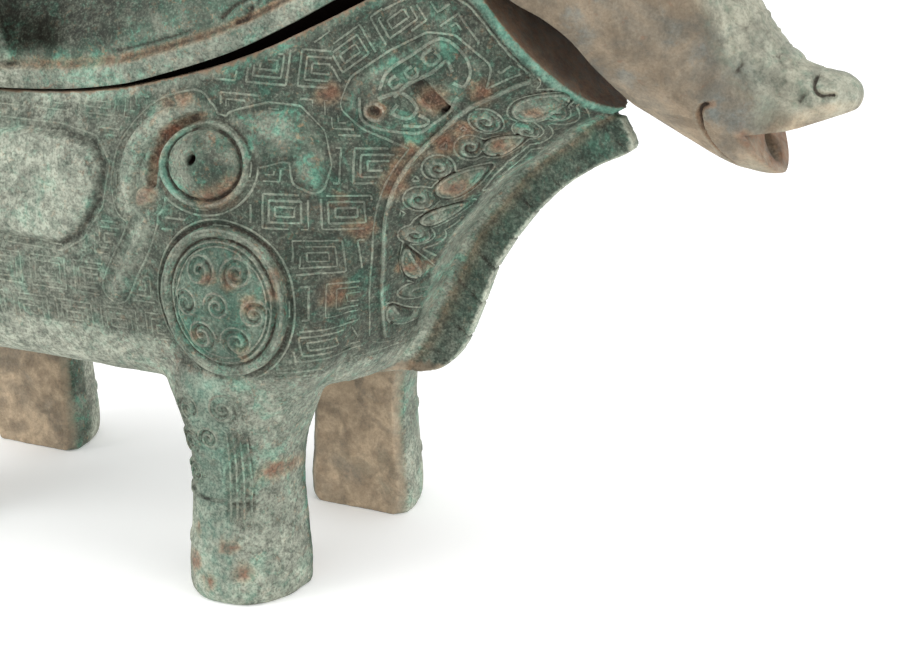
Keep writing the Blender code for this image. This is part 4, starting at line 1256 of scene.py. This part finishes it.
def isoLines(lines, keep, xs, zs):
    # the places where the field passes a whole number, walked into paths
    a, b, c, d = lines[:-1, :-1], lines[:-1, 1:], lines[1:, 1:], lines[1:, :-1]
    level = np.round((a + b + c + d) / 4)
    spread = np.maximum.reduce([a, b, c, d]) - np.minimum.reduce([a, b, c, d])
    fit = keep[:-1, :-1] & keep[:-1, 1:] & keep[1:, 1:] & keep[1:, :-1] & (spread < 0.6)
    signs = [np.where(k - level >= 0, 1, 0) for k in (a, b, c, d)]
    mixed = fit & (sum(signs) % 4 != 0)
    rows, columns = np.nonzero(mixed)
    spots, links = {}, {}
    for j, i in zip(rows.tolist(), columns.tolist()):
        k = level[j, i]
        corners = ((i, j, lines[j, i] - k), (i + 1, j, lines[j, i + 1] - k),
                   (i + 1, j + 1, lines[j + 1, i + 1] - k), (i, j + 1, lines[j + 1, i] - k))
        ends = []
        for (ia, ja, fa), (ib, jb, fb) in zip(corners, corners[1:] + corners[:1]):
            if (fa >= 0) != (fb >= 0):
                key = (min(ia, ib), min(ja, jb), ia == ib)
                if key not in spots:
                    t = fa / (fa - fb)
                    spots[key] = (xs[ia] + (xs[ib] - xs[ia]) * t, zs[ja] + (zs[jb] - zs[ja]) * t)
                ends.append(key)
        if len(ends) == 2:
            links.setdefault(ends[0], []).append(ends[1])
            links.setdefault(ends[1], []).append(ends[0])
    paths, used = [], set()
    starts = [k for k, v in links.items() if len(v) == 1] + list(links)
    for start in starts:
        if start in used:
            continue
        path, here = [start], start
        used.add(start)
        while True:
            onward = [k for k in links[here] if k not in used]
            if not onward:
                break
            here = onward[0]
            used.add(here)
            path.append(here)
        if len(path) > 9:
            if start in links[path[-1]]:
                path.append(start)
            paths.append(np.array([spots[k] for k in path]))
    return paths


def eased(path):
    # fewer points where the path runs straight
    kept, last = [0], 0
    for i in range(1, len(path) - 1):
        ahead = path[i + 1] - path[last]
        length = math.hypot(*ahead)
        between = path[last + 1:i + 1] - path[last]
        bow = np.abs(between[:, 0] * ahead[1] - between[:, 1] * ahead[0]).max() / (length + 1e-9)
        if bow > threadFit["bow"] or length > threadFit["straight"]:
            kept.append(i)
            last = i
    kept.append(len(path) - 1)
    return path[kept]


def threads(name, paths, drape, worn, weight=1.0):
    data = bpy.data.curves.new(name, "CURVE")
    data.dimensions = "3D"
    data.bevel_depth = threadFit["thick"] * weight
    data.bevel_resolution = 0
    data.use_fill_caps = True
    for path in paths:
        spots, sizes = [], []
        for a, b in path:
            spot = drape(a, b)
            size = worn(a, b)
            if spot is None or size < threadFit["worn"]:
                addThread(data, spots, sizes)
                spots, sizes = [], []
            else:
                spots.append(spot)
                sizes.append(size)
        addThread(data, spots, sizes)
    item = addObject(name, data)
    graph = bpy.context.evaluated_depsgraph_get()
    mesh = bpy.data.meshes.new_from_object(item.evaluated_get(graph))
    bpy.data.objects.remove(item)
    laid = addObject(name, mesh)
    print(name, "faces", faceCount(laid))
    return laid


def addThread(data, spots, sizes):
    if len(spots) < 3:
        return
    spline = data.splines.new("POLY")
    spline.points.add(len(spots) - 1)
    rows = np.concatenate([np.array(spots), np.ones((len(spots), 1))], 1)
    spline.points.foreach_set("co", rows.astype(np.float32).ravel())
    spline.points.foreach_set("radius", np.array(sizes, np.float32))


def wornSize(a, b):
    worn = noise.noise((a * 0.11 + 3.1, b * 0.11, 0.7)) * 0.55 + noise.noise((a * 0.5, b * 0.5, 4.2)) * 0.35
    return min(1.0, 0.98 - max(0.0, worn - 0.02) * 1.5)


def evenSize(a, b):
    return 1.0


def flankDrape(side, tree):
    def drape(a, b):
        start = toMetres(np.array((a, 62 * side, b)))
        hit, normal = tree.ray_cast(Vector(start), Vector((0, -side, 0)))[:2]
        bare, most = (flankY(a, b), 4.0) if b > 53 else (41.0, 14.0)
        if hit is None or abs(abs(hit.y) / unit - bare) > most or abs(normal.y) < 0.12:
            return None
        return hit - normal * threadFit["sink"]
    return drape


def flankY(a, b):
    return float(flankHeight(np.array([a]), np.array([b]))[0])


def rumpField(y, z):
    lines = nestedSquares(y, z) / threadFit["pitch"] + 0.5
    return lines, (np.abs(y) > 6.5) & (z > 64) & (z < 108)


def rumpDrape(tree):
    def drape(a, b):
        hit, normal = tree.ray_cast(Vector(toMetres(np.array((-140.0, a, b)))), Vector((1, 0, 0)))[:2]
        if hit is None or normal.x > -0.55:
            return None
        return hit - normal * threadFit["sink"]
    return drape


def scroll(cx, cz, size, hand):
    # path of one small scroll, from its eye outward
    t = np.linspace(0.12, 1, 28)
    angle = t * scrollFit["turns"] * 2 * math.pi + math.pi
    return np.stack([cx + hand * size * t * np.cos(angle), cz + size * t * np.sin(angle)], -1)


def ring(cx, cz, rx, rz):
    turn = np.linspace(0, 2 * math.pi, 72)
    return np.stack([cx + rx * np.cos(turn), cz + rz * np.sin(turn)], -1)


def leafRing(leaf):
    # outline of a leaf, pointed at one end
    cx, cz, long, wide, tilt = leaf
    a, turn = math.radians(tilt), np.linspace(0, 2 * math.pi, 48)
    u, v = long * np.cos(turn), wide * np.sin(turn)
    if long > wide:
        v = v * (1 - 0.35 * np.cos(turn))
    else:
        u = u * (1 - 0.3 * np.sin(turn))
    return np.stack([cx + u * math.cos(a) - v * math.sin(a), cz + u * math.sin(a) + v * math.cos(a)], -1)


def threadPieces():
    mesh = vesselBody.data
    tree = BVHTree.FromPolygons([v.co for v in mesh.vertices], [p.vertices for p in mesh.polygons])
    step = threadFit["grid"]
    xs, zs = np.arange(-118, 76, step), np.arange(54, 146, step)
    x, z = np.meshgrid(xs, zs)
    lines, keep = threadField(x, z)
    paths = [eased(p) for p in isoLines(lines, keep, xs, zs)]
    ys, hs = np.arange(-40, 40, step), np.arange(60, 112, step)
    y, h = np.meshgrid(ys, hs)
    back = [eased(p) for p in isoLines(*rumpField(y, h), ys, hs)]
    for cx, cz, rx, rz in motif["roundels"]:
        paths += [scroll(cx + dx, cz + dz, size, hand) for dx, dz, size, hand in scrollFit["roundel"]]
        paths += [ring(cx, cz, rx * k, rz * k) for k in threadFit["rings"]]
    made = []
    for side, name in ((-1, "threadsRight"), (1, "threadsLeft")):
        legs = []
        for centreX, hand in legFit["spots"]:
            if hand == side:
                legs += [scroll(centreX + dx, dz, size, turned) for dx, dz, size, turned in scrollFit["leg"]]
                for u, low, high in scrollFit["upright"]:
                    legs.append(np.array([(centreX + u, z) for z in np.arange(low, high, 1.2)]))
        made.append(threads(name, paths + legs, flankDrape(side, tree), wornSize))
        bold = [roundPath(path, 0.8) for path in motif["strokes"]] + [motif["border"]]
        bold += [leafRing(leaf) for leaf in motif["leaves"]]
        bold += [ring(cx, cz, rx * 0.995, rz * 0.995) for cx, cz, rx, rz in motif["roundels"]]
        bolder = name.replace("threads", "strokes")
        made.append(threads(bolder, bold, flankDrape(side, tree), evenSize, threadFit["bold"]))
    made.append(threads("threadsRump", back, rumpDrape(tree), wornSize))
    return made


threadItems = threadPieces()


def threadFields(item):
    spots = formSpots(item)
    tint(item, np.full(len(spots), -0.7), pale=0.12 + 0.3 * smooth(-22, -48, spots[:, 0]),
         rust=blobs(spots, rustSpots) * 0.8)


def dressed(piece, fields):
    fields(piece)
    piece.data.materials.clear()
    piece.data.materials.append(patinaMaterial)
    piece.data.shade_smooth()


for piece in threadItems:
    dressed(piece, threadFields)
    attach(piece, "root")
print("threads laid")

for piece, node, slotName, fields in ((vesselBody, "vessel", "vessel_bronze", vesselFields),
                                      (lidBody, "lid", "lid_bronze", lidFields)):
    dressed(piece, fields)
    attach(piece, "root")
    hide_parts(node)
print("pieces dressed")

# Floor, light and camera
studioFit = dict(
    floorSize=4, floorPaint=(0.95, 0.95, 0.95, 1), floorGlow=0.17, world=1.08, aim=(0, 0, 0.06),
    lamps=dict(key=((-0.4, -0.5, 0.6), 0.4, 2.0), right=((0.65, -0.15, 0.35), 0.4, 1.3),
               top=((0.0, 0.15, 0.9), 0.7, 0.3)),
)
floorMesh = bmesh.new()
bmesh.ops.create_grid(floorMesh, x_segments=1, y_segments=1, size=studioFit["floorSize"])
floor = meshObject("floor", floorMesh)
floorPaint = bpy.data.materials.new("paleFloor")
floorPaint.use_nodes = True
for name, value in (("Base Color", studioFit["floorPaint"]), ("Roughness", 0.9),
                    ("Emission Color", (1, 1, 1, 1)), ("Emission Strength", studioFit["floorGlow"])):
    floorPaint.node_tree.nodes["Principled BSDF"].inputs[name].default_value = value
floor.data.materials.append(floorPaint)

world = bpy.data.worlds.new("studio")
bpy.context.scene.world = world
world.use_nodes = True
world.node_tree.nodes["Background"].inputs["Color"].default_value = (1, 1, 1, 1)
world.node_tree.nodes["Background"].inputs["Strength"].default_value = studioFit["world"]
bpy.context.scene.view_settings.view_transform = "Standard"

for name, (spot, size, power) in studioFit["lamps"].items():
    data = bpy.data.lights.new(name, "AREA")
    data.shape = "DISK"
    data.size = size
    data.energy = power
    lamp = addObject(name, data)
    lamp.location = spot
    lamp.rotation_mode = "QUATERNION"
    lamp.rotation_quaternion = (Vector(studioFit["aim"]) - Vector(spot)).to_track_quat("-Z", "Y")
print("studio lit")

cameraFit = dict(spot=(218.3, -394.2, 208.0), turn=25, tilt=19, lens=2000 / 920 * 36)
cameraData = bpy.data.cameras.new("camera")
cameraData.lens = cameraFit["lens"]
cameraData.sensor_width = 36
cameraData.clip_start = 0.01
camera = addObject("camera", cameraData)
camera.location = toMetres(np.array(cameraFit["spot"]))
turn, tilt = math.radians(cameraFit["turn"]), math.radians(cameraFit["tilt"])
camera.rotation_mode = "QUATERNION"
ahead = Vector((-math.sin(turn) * math.cos(tilt), math.cos(turn) * math.cos(tilt), -math.sin(tilt)))
camera.rotation_quaternion = ahead.to_track_quat("-Z", "Y")
bpy.context.scene.camera = camera
